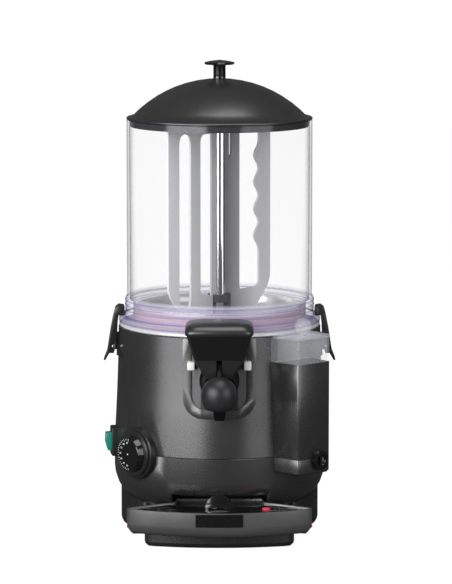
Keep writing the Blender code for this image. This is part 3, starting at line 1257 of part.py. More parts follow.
def tray_plan(inset=0.0):
    """The drip tray's outline: a bowed front, short sides and a neck that enters the belly's pocket."""
    radius = (TRAY_FACE_HALF ** 2 + TRAY_FACE_SAGITTA ** 2) / (2 * TRAY_FACE_SAGITTA)
    half = math.degrees(math.asin(TRAY_FACE_HALF / radius))
    front = arc((0, radius - TRAY_FRONT), radius, -90 - half, -90 + half, TRAY_ARC_STEPS)
    side = [(TRAY_HALF, -TRAY_SIDE_SET), (TRAY_NECK_HALF, -TRAY_NECK_SET), (TRAY_NECK_HALF, -TRAY_REAR)]
    corners = [(*point, 0.0) for point in front]
    corners += [(*side[0], TRAY_CORNER), (*side[1], TRAY_CORNER), (*side[2], TRAY_CORNER)]
    corners += [(-x, y, TRAY_CORNER) for x, y in reversed(side)]
    return offset(rounded(corners), -inset)


def grille_plan():
    radius = (TRAY_FACE_HALF ** 2 + TRAY_FACE_SAGITTA ** 2) / (2 * TRAY_FACE_SAGITTA)
    inset = TRAY_WALL + GAP
    half = math.degrees(math.asin(GRILLE_FACE_HALF / (radius - inset)))
    front = arc((0, radius - TRAY_FRONT), radius - inset, -90 - half, -90 + half, TRAY_ARC_STEPS)
    spread = math.degrees(math.asin(GRILLE_REAR_HALF / GRILLE_REAR_RADIUS))
    rear = arc((0, 0), GRILLE_REAR_RADIUS, -90 + spread, -90 - spread, TRAY_ARC_STEPS // 2)
    return front + [(GRILLE_SIDE_HALF, -GRILLE_SIDE_SET)] + rear + [(-GRILLE_SIDE_HALF, -GRILLE_SIDE_SET)]


def span_at(outline, y):
    """Where an outline is crossed by a line along X at y, furthest left and right."""
    crossings = []
    for (x1, y1), (x2, y2) in zip(outline, outline[1:] + outline[:1]):
        if (y1 - y) * (y2 - y) < 0:
            crossings.append(x1 + (x2 - x1) * (y - y1) / (y2 - y1))
    return min(crossings), max(crossings)


def grille_slots(outline):
    """Rows of slots along X, broken at the ribs and round the drain ring and the two float holes."""
    inner = offset(outline, -GRILLE_RIM)
    rings = [(0.0, DRAIN_HOLE_RADIUS + DRAIN_RING), (FLOAT_SIDE, FLOAT_HOLE_RADIUS + FLOAT_RING),
             (-FLOAT_SIDE, FLOAT_HOLE_RADIUS + FLOAT_RING)]
    slots = []
    for row in range(GRILLE_SLOT_ROWS):
        y = -GRILLE_SLOT_FIRST + GRILLE_SLOT_PITCH * row
        left = max(span_at(inner, y - GRILLE_SLOT_HALF)[0], span_at(inner, y + GRILLE_SLOT_HALF)[0])
        solid = []
        for rib in GRILLE_RIB_SIDES:
            solid += [(side * rib - GRILLE_RIB / 2, side * rib + GRILLE_RIB / 2) for side in (-1, 1)]
        for x, radius in rings:
            away = abs(y + DRAIN_SET) - GRILLE_SLOT_HALF
            if away < radius:
                reach = math.sqrt(radius ** 2 - max(away, 0) ** 2)
                solid.append((x - reach, x + reach))
        rear = GRILLE_REAR_RADIUS + GRILLE_RIM
        if -y - GRILLE_SLOT_HALF < rear:
            reach = math.sqrt(rear ** 2 - (y + GRILLE_SLOT_HALF) ** 2)
            solid.append((-reach, reach))
        solid.sort()
        start = left
        for low, high in solid + [(-left, -left)]:
            if low - start > 2 * GRILLE_SLOT_HALF:
                slots.append([(start, y - GRILLE_SLOT_HALF), (low, y - GRILLE_SLOT_HALF),
                              (low, y + GRILLE_SLOT_HALF), (start, y + GRILLE_SLOT_HALF)])
            start = max(start, high)
    return slots


def build_tray():
    slide = axis_empty("tray_axis", (0, 0, 0))
    rings = []
    for step in range(TRAY_SKIRT_STEPS + 1):
        turn = math.radians(90 * step / TRAY_SKIRT_STEPS)
        rings.append(level(tray_plan(TRAY_SKIRT_INSET * (1 - math.sin(turn))),
                           TRAY_BOTTOM + (TRAY_SKIRT_TOP - TRAY_BOTTOM) * (1 - math.cos(turn))))
    ledge = TRAY_WALL + TRAY_LEDGE
    rings += [level(tray_plan(), TRAY_RIM), level(tray_plan(TRAY_WALL), TRAY_RIM),
              level(tray_plan(TRAY_WALL), TRAY_LEDGE_HEIGHT), level(tray_plan(ledge), TRAY_LEDGE_HEIGHT),
              level(tray_plan(ledge + TRAY_SKIRT_INSET / 3), TRAY_SKIRT_TOP),
              level(tray_plan(ledge + TRAY_SKIRT_INSET), TRAY_FLOOR)]
    lofted("drip_tray", rings, BLACK_PLASTIC, slide)

    outline = grille_plan()
    drain = arc((0, -DRAIN_SET), DRAIN_HOLE_RADIUS, 0, 360, SMALL_STEPS)[:-1]
    holes = [arc((side * FLOAT_SIDE, -DRAIN_SET), FLOAT_HOLE_RADIUS, 0, 360, TINY_STEPS)[:-1]
             for side in (-1, 1)]
    low = TRAY_LEDGE_HEIGHT + GAP
    grille = pierced("drip_grille", [outline, drain] + holes + grille_slots(outline), GRILLE_THICKNESS,
                     BLACK_GLOSS, slide, moved(z=low + GRILLE_THICKNESS / 2))
    tab = plate("grille_tab", [arc((0, 0), TAB_RADIUS, 0, 180, TINY_STEPS)], TAB_THICKNESS, parent=slide,
                matrix=moved(y=-TAB_SET, z=low + GRILLE_THICKNESS / 2) @ ALONG_Y)
    combine(grille, tab, "UNION")

    radius = (TRAY_FACE_HALF ** 2 + TRAY_FACE_SAGITTA ** 2) / (2 * TRAY_FACE_SAGITTA)
    half = math.degrees(math.asin(TRAY_PLATE_HALF / radius))
    centre = (0, radius - TRAY_FRONT)
    strip = arc(centre, radius + GAP, -90 - half, -90 + half, TRAY_SKIRT_STEPS)
    strip += arc(centre, radius + GAP + TRAY_PLATE_THICKNESS, -90 + half, -90 - half, TRAY_SKIRT_STEPS)
    lofted("tray_front_plate", [level(strip, TRAY_PLATE_BOTTOM), level(strip, TRAY_PLATE_TOP)], BLACK_GLOSS,
           slide)

    stem = FLOAT_HOLE_RADIUS - GAP
    seat = low + GRILLE_THICKNESS + GAP
    top = seat + FLOAT_CAP_HEIGHT
    shoulder = low - FLOAT_RISE - 2 * GAP
    foot = shoulder - FLOAT_BASE_HEIGHT
    turned("tray_float", [
        (0, top), (FLOAT_CAP_RADIUS - EDGE_BREAK, top), (FLOAT_CAP_RADIUS, top - EDGE_BREAK),
        (FLOAT_CAP_RADIUS, seat), (stem, seat), (stem, shoulder), (FLOAT_BASE_RADIUS, shoulder),
        (FLOAT_BASE_RADIUS, foot), (0, foot),
    ], RED_RUBBER, SMALL_STEPS, slide, moved(FLOAT_SIDE, -DRAIN_SET))


def build_dial(upper, lower):
    turn = axis_empty("dial_axis", (0, 0, DIAL_HEIGHT), facing(DIAL_ANGLE))
    skin = body_cutter("dial_skin", GAP)
    for shell in (upper, lower):
        cut(shell, rod(f"dial_hole_{shell.name}", DIAL_SHAFT_HOLE, DIAL_BOSS_REAR, DIAL_BOSS_FACE, parent=turn))
    inner = DIAL_SHAFT_RADIUS + GAP
    boss = turned("dial_boss", [
        (inner, DIAL_BOSS_FACE), (DIAL_BOSS_RADIUS - EDGE_BREAK * 2, DIAL_BOSS_FACE),
        (DIAL_BOSS_RADIUS, DIAL_BOSS_FACE - EDGE_BREAK * 2), (DIAL_BOSS_RADIUS, DIAL_BOSS_REAR),
        (inner, DIAL_BOSS_REAR),
    ], BLACK_PLASTIC, MID_STEPS, turn)
    cut(boss, skin)
    turned("dial_ring", [
        (inner, DIAL_RING_FACE), (DIAL_RING_RADIUS - EDGE_BREAK * 2, DIAL_RING_FACE),
        (DIAL_RING_RADIUS, DIAL_RING_FACE - EDGE_BREAK * 2), (DIAL_RING_RADIUS, DIAL_BOSS_FACE + GAP),
        (inner, DIAL_BOSS_FACE + GAP),
    ], BLACK_PLASTIC, MID_STEPS, turn)
    turned("dial_knob", [
        (0, DIAL_FACE), (DIAL_RADIUS - EDGE_BREAK, DIAL_FACE), (DIAL_RADIUS, DIAL_FACE - EDGE_BREAK),
        (DIAL_SKIRT_RADIUS, DIAL_RING_FACE + GAP * 2), (DIAL_SHAFT_RADIUS, DIAL_RING_FACE + GAP * 2),
        (DIAL_SHAFT_RADIUS, THERMOSTAT_FRONT + GAP), (0, THERMOSTAT_FRONT + GAP),
    ], BLACK_GLOSS, MID_STEPS, turn)
    rod("thermostat", THERMOSTAT_RADIUS, THERMOSTAT_REAR, THERMOSTAT_FRONT, BRUSHED, turn, steps=MID_STEPS)


def build_switch(upper, lower):
    frame = axis_empty("switch_axis", (0, 0, SWITCH_HEIGHT), facing(SWITCH_ANGLE))
    neck = (SWITCH_NECK_WIDTH / 2, SWITCH_NECK_TALL / 2)
    for shell in (upper, lower):
        cut(shell, box(f"switch_hole_{shell.name}", (-neck[0] - GAP, -neck[1] - GAP, SWITCH_REAR),
                       (neck[0] + GAP, neck[1] + GAP, SWITCH_FACE), parent=frame))
    housing = box("switch_housing", (-SWITCH_WIDTH / 2, -SWITCH_TALL / 2, SWITCH_REAR + OVERRUN),
                  (SWITCH_WIDTH / 2, SWITCH_TALL / 2, SWITCH_FACE), BLACK_PLASTIC, frame,
                  bevel=SWITCH_ROUND, segments=2)
    cut(housing, body_cutter("switch_skin", GAP))
    combine(housing, box("switch_neck", (-neck[0], -neck[1], SWITCH_REAR), (neck[0], neck[1], ROCKER_AXIS),
                         parent=frame), "UNION")
    wide = ROCKER_WIDTH / 2 + ROCKER_PLAY
    tall = ROCKER_TALL / 2 + ROCKER_PLAY
    cut(housing, box("rocker_pocket", (-wide, -tall, ROCKER_FLOOR), (wide, tall, SWITCH_FACE + OVERRUN),
                     parent=frame))

    rock = axis_empty("rocker_axis", (0, 0, ROCKER_AXIS), Matrix.Rotation(math.radians(ROCKER_TILT), 4, "X"),
                      frame)
    half = ROCKER_TALL / 2
    outline = [(-half, ROCKER_BACK - ROCKER_AXIS), (half, ROCKER_BACK - ROCKER_AXIS),
               (half, ROCKER_EDGE - ROCKER_AXIS), (0, ROCKER_PEAK - ROCKER_AXIS),
               (-half, ROCKER_EDGE - ROCKER_AXIS)]
    sideways = Matrix(((0, 0, 1, 0), (1, 0, 0, 0), (0, 1, 0, 0), (0, 0, 0, 1)))
    plate("switch_rocker", [outline], ROCKER_WIDTH, GREEN_PLASTIC, rock, sideways)


def box_plan(inset=0.0, root=None, face=None):
    """The water box's plan in its own frame: x along its face, y outwards from the machine's axis."""
    root = root or BOX_ROOT
    face = face or BOX_FACE
    outline = rounded([(-BOX_ROOT_HALF, root, 0.0), (BOX_ROOT_HALF, root, 0.0),
                       (BOX_FACE_HALF, face, BOX_CORNER), (-BOX_FACE_HALF, face, BOX_CORNER)])
    return offset(outline, -inset)


def build_water_box():
    plan_frame = axis_empty("water_box_frame", (0, 0, 0),
                            Matrix.Rotation(math.radians(BOX_ANGLE - 180), 4, "Z"))
    seat = body_cutter("water_box_seat", GAP)
    seam = SEAM_HEIGHT
    housing = lofted("water_box", [level(box_plan(), seam), level(box_plan(), BOX_TOP)], BLACK_PLASTIC,
                     plan_frame)
    hollow = lofted("water_box_hollow", [level(box_plan(BOX_WALL, BOX_SEAT), seam + BOX_WALL),
                                         level(box_plan(BOX_WALL, BOX_SEAT), BOX_TOP + OVERRUN)],
                    parent=plan_frame)
    cut(housing, seat, hollow)
    fillet = BOX_CORNER
    sump = lofted("water_box_sump", [level(box_plan(fillet), BOX_BOTTOM),
                                     level(box_plan(), BOX_BOTTOM + fillet),
                                     level(box_plan(), seam - GAP)], BLACK_PLASTIC, plan_frame)
    cut(sump, seat)

    low = BOX_TOP + GAP
    window = lofted("water_box_window", [level(box_plan(), low), level(box_plan(), WINDOW_TOP_EDGE)], CLEAR,
                    plan_frame)
    space = lofted("window_space", [level(box_plan(BOX_WALL, BOX_SEAT), low - OVERRUN),
                                    level(box_plan(BOX_WALL, BOX_SEAT), WINDOW_TOP_EDGE + OVERRUN)],
                   parent=plan_frame)
    cut(window, seat, space)

    lid_low = WINDOW_TOP_EDGE + GAP
    lid_top = lid_low + BOX_LID_THICKNESS
    plan = box_plan(-BOX_LID_OVERHANG, BOX_LID_REAR + BOX_LID_OVERHANG)
    lid = lofted("water_box_lid", [level(plan, lid_low), level(plan, lid_top)], CLEAR, plan_frame)
    knob_low = lid_top - BOX_LID_THICKNESS / 2
    neck = lid_top + BOX_KNOB_STEM
    angle = math.degrees(math.acos(BOX_KNOB_NECK / BOX_KNOB_RADIUS))
    middle = (0, neck + BOX_KNOB_RADIUS * math.sin(math.radians(angle)))
    ball = turned("box_lid_knob", [(0, knob_low), (BOX_KNOB_NECK, knob_low)]
                  + arc(middle, BOX_KNOB_RADIUS, -angle, 90, 8)[:-1] + [(0, middle[1] + BOX_KNOB_RADIUS)],
                  steps=SMALL_STEPS, parent=plan_frame, matrix=moved(y=BOX_KNOB_SET))
    combine(lid, ball, "UNION")

    cap_frame = axis_empty("drain_cap_axis", (0, 0, DRAIN_CAP_HEIGHT), facing(BOX_ANGLE))
    face = BOX_FACE + GAP
    centre = moved(x=DRAIN_CAP_SIDE)
    cap = turned("drain_cap", [
        (0, face + DRAIN_CAP_THICKNESS / 2), (DRAIN_CAP_RECESS, face + DRAIN_CAP_THICKNESS / 2),
        (DRAIN_CAP_RECESS, face + DRAIN_CAP_THICKNESS),
        (DRAIN_CAP_RADIUS - EDGE_BREAK, face + DRAIN_CAP_THICKNESS),
        (DRAIN_CAP_RADIUS, face + DRAIN_CAP_THICKNESS - EDGE_BREAK), (DRAIN_CAP_RADIUS, face), (0, face),
    ], BLACK_GLOSS, MID_STEPS, cap_frame, centre)
    key = box("drain_cap_key", (-KEY_HALF, -DRAIN_CAP_RECESS - EDGE_BREAK, face + DRAIN_CAP_THICKNESS / 4),
              (KEY_HALF, DRAIN_CAP_RECESS + EDGE_BREAK, face + DRAIN_CAP_THICKNESS * 0.85), parent=cap_frame,
              matrix=centre)
    combine(cap, key, "UNION")


def latch_outline():
    """The latch lever's side outline in (outwards, up), from the hook over the flange to the finger tip."""
    hook = FLANGE_TOP + GAP
    lean = LATCH_LIP * 1.2
    return [
        (LATCH_NOSE, hook), (LATCH_INNER, hook), (LATCH_HIP, BODY_TOP),
        (LATCH_HIP, LATCH_WAIST_HEIGHT - LATCH_WEB),
        (LATCH_HEEL - LATCH_WEB, LATCH_PIVOT_HEIGHT), (LATCH_HEEL, LATCH_BOTTOM),
        (LATCH_ELBOW - LATCH_WEB, LATCH_BOTTOM), (LATCH_TIP - LATCH_LIP, LATCH_TIP_HEIGHT),
        (LATCH_TIP, LATCH_TIP_HEIGHT + LATCH_LIP / 2), (LATCH_ELBOW + LATCH_LIP / 4, LATCH_ELBOW_HEIGHT - lean),
        (LATCH_ELBOW, LATCH_ELBOW_HEIGHT), (LATCH_WAIST, LATCH_WAIST_HEIGHT),
        (LATCH_SHOULDER + LATCH_LIP, FLANGE_TOP + LATCH_LIP), (LATCH_SHOULDER, LATCH_TOP - LATCH_LIP * 1.5),
        (LATCH_SHOULDER - LATCH_LIP * 2, LATCH_TOP), (LATCH_NOSE + LATCH_LIP / 2, LATCH_TOP - LATCH_LIP / 2),
        (LATCH_NOSE, LATCH_TOP - LATCH_LIP * 2),
    ]


def build_latches():
    for side, name in ((-90, "left"), (90, "right")):
        frame = axis_empty(f"latch_{name}_axis", (0, 0, 0), Matrix.Rotation(math.radians(side + 90), 4, "Z"))
        flat = Matrix(((-1, 0, 0, 0), (0, 0, 1, 0), (0, 1, 0, 0), (0, 0, 0, 1)))
        lever = plate(f"latch_lever_{name}", [latch_outline()], LATCH_WIDTH, BLACK_PLASTIC, frame, flat)
        pocket = [(LATCH_NOSE - OVERRUN * 3, LATCH_TIP_HEIGHT - OVERRUN),
                  (LATCH_HEEL + LATCH_WEB, LATCH_TIP_HEIGHT - OVERRUN),
                  (LATCH_ELBOW - LATCH_WEB, LATCH_BOTTOM), (LATCH_ELBOW - LATCH_WEB, LATCH_ELBOW_HEIGHT),
                  (LATCH_WAIST - LATCH_WEB, LATCH_WAIST_HEIGHT - LATCH_WEB),
                  (LATCH_NOSE - OVERRUN * 3, LATCH_WAIST_HEIGHT - LATCH_WEB)]
        cut(lever, plate(f"latch_pocket_{name}", [pocket], LATCH_POCKET, None, frame, flat))
        pin_place = moved(x=-LATCH_PIVOT, z=LATCH_PIVOT_HEIGHT) @ ALONG_Y
        hole = rod(f"latch_hole_{name}", LATCH_PIN_RADIUS + GAP, -LATCH_WIDTH, LATCH_WIDTH, parent=frame,
                   matrix=pin_place, steps=TINY_STEPS)
        cut(lever, hole)

        ear = LATCH_POCKET / 2 - GAP * 2
        latch_bracket(f"latch_bracket_{name}", frame, ear)


def latch_bracket(name, frame, ear):
    """A latch bracket: a plate seated on the body's skin with two round ears, its pin riveted in them."""
    outer = swell(LATCH_PIVOT_HEIGHT) + GAP + BRACKET_PLATE
    bracket = box(name, (-outer, -ear, BRACKET_BOTTOM), (-BODY_TOP_RADIUS + OVERRUN, ear, BRACKET_TOP),
                  BLACK_PLASTIC, frame)
    for share in (-1, 1):
        middle = share * (ear - EAR_THICKNESS / 2)
        low, high = middle - EAR_THICKNESS / 2, middle + EAR_THICKNESS / 2
        combine(bracket, rod(f"{name}_ear_{share}", EAR_RADIUS, low, high, parent=frame,
                             matrix=moved(x=-LATCH_PIVOT, z=LATCH_PIVOT_HEIGHT) @ ALONG_Y), "UNION")
        combine(bracket, box(f"{name}_web_{share}", (-LATCH_PIVOT, low, LATCH_PIVOT_HEIGHT - EAR_RADIUS),
                             (-outer + BRACKET_PLATE / 2, high, LATCH_PIVOT_HEIGHT + EAR_RADIUS), parent=frame),
                "UNION")
    pivot = moved(x=-LATCH_PIVOT, z=LATCH_PIVOT_HEIGHT) @ ALONG_Y
    pin = rod(name + "_pin", LATCH_PIN_RADIUS, -LATCH_WIDTH / 2, LATCH_WIDTH / 2, parent=frame, matrix=pivot,
              steps=TINY_STEPS)
    combine(bracket, pin, "UNION")
    cut(bracket, body_cutter(name + "_skin", GAP))


def build():
    build_lid()
    build_container()
    build_bowl()
    build_stirrer()
    build_drive()
    upper, lower = build_body()
    pedestal = build_pedestal()
    build_rear(pedestal)
    build_tap()
    build_tray()
    build_dial(upper, lower)
    build_switch(upper, lower)
    build_water_box()
    build_latches()
    for obj in PARTS.objects:
        if obj.type == "MESH" and not obj.modifiers:
            obj.data.shade_smooth()
            obj.data.set_sharp_from_angle(angle=math.radians(30))


build()
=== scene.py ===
import math

import bmesh
import bpy
from mathutils import Matrix, Vector
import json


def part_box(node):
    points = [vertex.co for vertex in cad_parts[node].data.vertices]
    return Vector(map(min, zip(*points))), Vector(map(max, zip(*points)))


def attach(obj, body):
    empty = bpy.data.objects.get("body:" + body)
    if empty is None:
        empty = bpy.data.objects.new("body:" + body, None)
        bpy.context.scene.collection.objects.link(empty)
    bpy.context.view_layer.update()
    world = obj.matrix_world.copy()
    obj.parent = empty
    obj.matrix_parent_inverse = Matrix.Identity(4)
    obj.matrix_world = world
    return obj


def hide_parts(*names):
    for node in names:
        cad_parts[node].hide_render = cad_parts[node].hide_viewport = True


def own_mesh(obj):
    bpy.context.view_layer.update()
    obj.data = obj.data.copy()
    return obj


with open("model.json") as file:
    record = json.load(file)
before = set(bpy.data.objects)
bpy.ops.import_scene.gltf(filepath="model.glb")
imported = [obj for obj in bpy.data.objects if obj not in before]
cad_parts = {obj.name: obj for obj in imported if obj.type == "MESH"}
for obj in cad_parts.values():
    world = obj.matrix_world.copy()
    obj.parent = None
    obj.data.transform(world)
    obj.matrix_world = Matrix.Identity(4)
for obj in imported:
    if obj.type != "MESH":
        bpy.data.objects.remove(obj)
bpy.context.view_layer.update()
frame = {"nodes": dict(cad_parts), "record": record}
AXIS_Y = 0.0216
for item in list(bpy.context.selected_objects):
    item.select_set(False)


# Pedestal and front foot: the base tub under the belly is satin black ABS, moulded in one piece with
# a rounded plan, and the front foot carries the tray. Each finished copy is sewn and smoothed so
# that its curved walls light evenly.
def linear(hex_colour):
    """The linear RGBA of an sRGB hex colour."""
    channels = [int(hex_colour[i:i + 2], 16) / 255 for i in (1, 3, 5)]
    return tuple(c / 12.92 if c <= 0.04045 else ((c + 0.055) / 1.055) ** 2.4 for c in channels) + (1.0,)


def add_node(tree, kind, settings=None, links=None):
    """A node with its settings, by property or socket name, and links given as socket: output socket."""
    node = tree.nodes.new(kind)
    for key, value in (settings or {}).items():
        if isinstance(key, int) or key in node.inputs:
            node.inputs[key].default_value = value
        else:
            setattr(node, key, value)
    for key, output in (links or {}).items():
        tree.links.new(output, node.inputs[key])
    return node


def new_material(name):
    material = bpy.data.materials.new(name)
    material.use_nodes = True
    return material, material.node_tree, material.node_tree.nodes["Principled BSDF"]


def grained(name, dark, light, rough_low, rough_high, grain_mm, bump_mm, coat=0.0):
    """A moulded or painted surface: soft cloudy tone, rubbed patches in its roughness and a fine grain."""
    material, tree, shader = new_material(name)
    place = add_node(tree, "ShaderNodeTexCoord")
    cloud = add_node(tree, "ShaderNodeTexNoise", {"Scale": 14.0, "Detail": 4.0, "Roughness": 0.6},
                     {"Vector": place.outputs["Object"]})
    grain = add_node(tree, "ShaderNodeTexNoise", {"Scale": 1000 / grain_mm, "Detail": 2.0},
                     {"Vector": place.outputs["Object"]})
    tone = add_node(tree, "ShaderNodeMix", {"data_type": "RGBA", 6: linear(dark), 7: linear(light)},
                    {0: cloud.outputs["Fac"]})
    rough = add_node(tree, "ShaderNodeMapRange", {"To Min": rough_low, "To Max": rough_high},
                     {"Value": cloud.outputs["Fac"]})
    bump = add_node(tree, "ShaderNodeBump", {"Strength": 0.35, "Distance": bump_mm / 1000},
                    {"Height": grain.outputs["Fac"]})
    tree.links.new(tone.outputs[2], shader.inputs["Base Color"])
    tree.links.new(rough.outputs["Result"], shader.inputs["Roughness"])
    tree.links.new(bump.outputs["Normal"], shader.inputs["Normal"])
    shader.inputs["Coat Weight"].default_value = coat
    shader.inputs["Coat Roughness"].default_value = 0.08
    return material


def dressed(node, material, angle=32, edge=0.0):
    """A sewn, smooth-shaded copy of a CAD node with its broken edges, which stands for the node."""
    source = frame["nodes"][node]
    piece = bpy.data.objects.new(node + "_finished", source.data.copy())
    bpy.context.scene.collection.objects.link(piece)
    work = bmesh.new()
    work.from_mesh(piece.data)
    bmesh.ops.remove_doubles(work, verts=work.verts, dist=0.00001)
    bmesh.ops.dissolve_limit(work, angle_limit=math.radians(0.5), verts=work.verts, edges=work.edges)
    work.to_mesh(piece.data)
    work.free()
    piece.data.materials.clear()
    piece.data.materials.append(material)
    bpy.context.view_layer.objects.active = piece
    piece.select_set(True)
    if edge:
        bevel = piece.modifiers.new("broken edges", "BEVEL")
        bevel.width = edge
        bevel.segments = 2
        bevel.limit_method = "ANGLE"
        bevel.angle_limit = math.radians(40)
        bpy.ops.object.modifier_apply(modifier=bevel.name)
    bpy.ops.object.shade_smooth_by_angle(angle=math.radians(angle))
    piece.select_set(False)
    body = next(b for b, nodes in frame["record"]["behaviour"]["bodies"].items() if node in nodes)
    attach(piece, body)
    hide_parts(node)
    return piece


def satin_black(name, dark, light, rough, across, metallic=0.85):
    """A dark satin skin: drawn lines along Z or a fine even texture, under soft rubbed clouds."""
    material, tree, shader = new_material(name)
    place = add_node(tree, "ShaderNodeTexCoord")
    stretch = {"Z": (1100, 1100, 14), "round": (500, 500, 900)}[across]
    mapping = add_node(tree, "ShaderNodeMapping", {"Scale": stretch}, {"Vector": place.outputs["Object"]})
    lines = add_node(tree, "ShaderNodeTexNoise", {"Scale": 1.0, "Detail": 3.0},
                     {"Vector": mapping.outputs[0]})
    cloud = add_node(tree, "ShaderNodeTexNoise", {"Scale": 11.0, "Detail": 5.0, "Roughness": 0.55},
                     {"Vector": place.outputs["Object"]})
    both = add_node(tree, "ShaderNodeMath", {"operation": "MULTIPLY_ADD", 1: 0.45},
                    {0: lines.outputs["Fac"], 2: cloud.outputs["Fac"]})
    tone = add_node(tree, "ShaderNodeMix", {"data_type": "RGBA", 6: linear(dark), 7: linear(light)},
                    {0: both.outputs[0]})
    roughness = add_node(tree, "ShaderNodeMapRange",
                         {"From Min": 0.3, "From Max": 1.1, "To Min": rough * 0.88, "To Max": rough * 1.14},
                         {"Value": both.outputs[0]})
    bump = add_node(tree, "ShaderNodeBump", {"Strength": 0.05, "Distance": 0.00004},
                    {"Height": lines.outputs["Fac"]})
    tree.links.new(tone.outputs[2], shader.inputs["Base Color"])
    tree.links.new(roughness.outputs["Result"], shader.inputs["Roughness"])
    tree.links.new(bump.outputs["Normal"], shader.inputs["Normal"])
    shader.inputs["Metallic"].default_value = metallic
    return material


BODY_SKIN = satin_black("satin black brushed body", "#4e4e4f", "#636364", 0.27, "round")
BODY_ABS = grained("satin black moulded ABS", "#161617", "#202021", 0.30, 0.40, 0.9, 0.05, coat=0.15)
dressed("pedestal_base", BODY_ABS)
dressed("front_foot", BODY_SKIN)

# Soft feet: four red silicone discs pressed into the pedestal's rim.
# They are moulded with a fine matt grain, which keeps them from sliding on the counter.
RED_SILICONE = grained("satin red silicone rubber", "#c21f3c", "#e03a58", 0.42, 0.60, 1.2, 0.04)
for foot in ("front_left", "front_right", "rear_left", "rear_right"):
    dressed("rubber_foot_" + foot, RED_SILICONE)

# Rear fittings: a brushed stainless panel with punched vents, and the black nylon cable gland.
# The panel's grain runs across it, as rolled sheet is linished before it is punched.
def brushed(name, dark, light, rough, across, metallic=1.0):
    """Bare metal with fine brushed lines along X or Z, or round a turned piece."""
    material, tree, shader = new_material(name)
    place = add_node(tree, "ShaderNodeTexCoord")
    stretch = {"X": (12, 900, 900), "Z": (900, 900, 12), "round": (700, 700, 20)}[across]
    mapping = add_node(tree, "ShaderNodeMapping", {"Scale": stretch}, {"Vector": place.outputs["Object"]})
    lines = add_node(tree, "ShaderNodeTexNoise", {"Scale": 1.0, "Detail": 3.0},
                     {"Vector": mapping.outputs[0]})
    tone = add_node(tree, "ShaderNodeMix", {"data_type": "RGBA", 6: linear(dark), 7: linear(light)},
                    {0: lines.outputs["Fac"]})
    roughness = add_node(tree, "ShaderNodeMapRange", {"To Min": rough * 0.8, "To Max": rough * 1.25},
                         {"Value": lines.outputs["Fac"]})
    bump = add_node(tree, "ShaderNodeBump", {"Strength": 0.15, "Distance": 0.00005},
                    {"Height": lines.outputs["Fac"]})
    tree.links.new(tone.outputs[2], shader.inputs["Base Color"])
    tree.links.new(roughness.outputs["Result"], shader.inputs["Roughness"])
    tree.links.new(bump.outputs["Normal"], shader.inputs["Normal"])
    shader.inputs["Metallic"].default_value = metallic
    return material


LINISHED = brushed("linished stainless sheet", "#a8a8aa", "#c9c9cb", 0.34, "X")
NYLON = grained("black glass-filled nylon", "#101011", "#191919", 0.45, 0.58, 0.6, 0.06)
dressed("rear_vent_panel", LINISHED)
dressed("cable_gland", NYLON)

# Hidden works: tank, heater, gearmotor and thermostat, in stainless steel and zinc-plated steel; here all
# take the zinc-plated finish.
# They sit inside the shells and show only at the vents, and are finished as bought parts are.
POLISHED = brushed("polished stainless steel", "#c9c9cb", "#dededf", 0.10, "round")
SATIN_STEEL = brushed("satin pressed stainless steel", "#d2d2d4", "#ececee", 0.24, "round", 0.35)
ZINC = brushed("zinc-plated steel", "#8f9294", "#b4b6b8", 0.38, "round")
for node in ("bain_marie_tank", "heating_element", "motor_bracket", "gearmotor", "thermostat"):
    dressed(node, ZINC)

# Body: two shells that meet at a fine seam, the lower one rounded under into the belly.
# Both have the same dark satin skin as the front foot.
dressed("body_lower_shell", BODY_SKIN)
dressed("body_upper_shell", BODY_SKIN)

# Bowl and top ring: pressed stainless steel with a satin finish; the ring caps the body's upper edge.
# A red silicone seal keeps the stirrer's shaft tight in the bowl's floor.
dressed("bowl", SATIN_STEEL)
dressed("bowl_top_ring", SATIN_STEEL, 40)
dressed("bowl_shaft_seal", RED_SILICONE)

# Stirrer: a sheet of brushed stainless with slots and waves, on a polished tube over a nylon hub.
# Painted reflection: its pale, nearly matt base stands in for the bright room the steel reflects, and
# the room's reflection is painted into it as broad light and dark stripes along its width.
STIRRER_STEEL = brushed("brushed stainless stirrer sheet", "#e2e2e4", "#f2f2f4", 0.45, "Z", 0.1)
tree = STIRRER_STEEL.node_tree
shader = tree.nodes["Principled BSDF"]
place = add_node(tree, "ShaderNodeTexCoord")
SHEET_TURN = math.radians(50)
PAINTED_SHEEN_WIDTH = 0.192
start = 0.5 - AXIS_Y * math.sin(SHEET_TURN) / PAINTED_SHEEN_WIDTH
along = add_node(tree, "ShaderNodeMapping",
                 {"Location": (start, 0, 0), "Rotation": (0, 0, -SHEET_TURN),
                  "Scale": (1 / PAINTED_SHEEN_WIDTH,) * 3},
                 {"Vector": place.outputs["Object"]})
split = add_node(tree, "ShaderNodeSeparateXYZ", links={"Vector": along.outputs[0]})
painted_sheen = add_node(tree, "ShaderNodeValToRGB", links={"Fac": split.outputs["X"]})
ramp = painted_sheen.color_ramp
# The stops are painted reflection: the light and dark stripes the turned sheet shows across its width.
PAINTED_SHEEN_STOPS = ((0.30, "#d2d2d2"), (0.46, "#bcbcbc"), (0.56, "#787878"), (0.68, "#a6a6a6"),
               (0.86, "#dadada"))
for stop, tone in PAINTED_SHEEN_STOPS:
    ramp.elements.new(stop).color = linear(tone)
ramp.elements[0].color = linear("#f0f0f0")
ramp.elements[-1].color = linear("#e0e0e0")
lined = shader.inputs["Base Color"].links[0].from_socket
painted_sheen_mix = add_node(tree, "ShaderNodeMix", {"data_type": "RGBA", "blend_type": "MULTIPLY", 0: 1.0},
                   {6: lined, 7: painted_sheen.outputs["Color"]})
tree.links.new(painted_sheen_mix.outputs[2], shader.inputs["Base Color"])
dressed("stirrer_plate", STIRRER_STEEL, 12)
dressed("stirrer_tube", POLISHED)
dressed("stirrer_hub", NYLON)
dressed("drive_shaft", POLISHED)
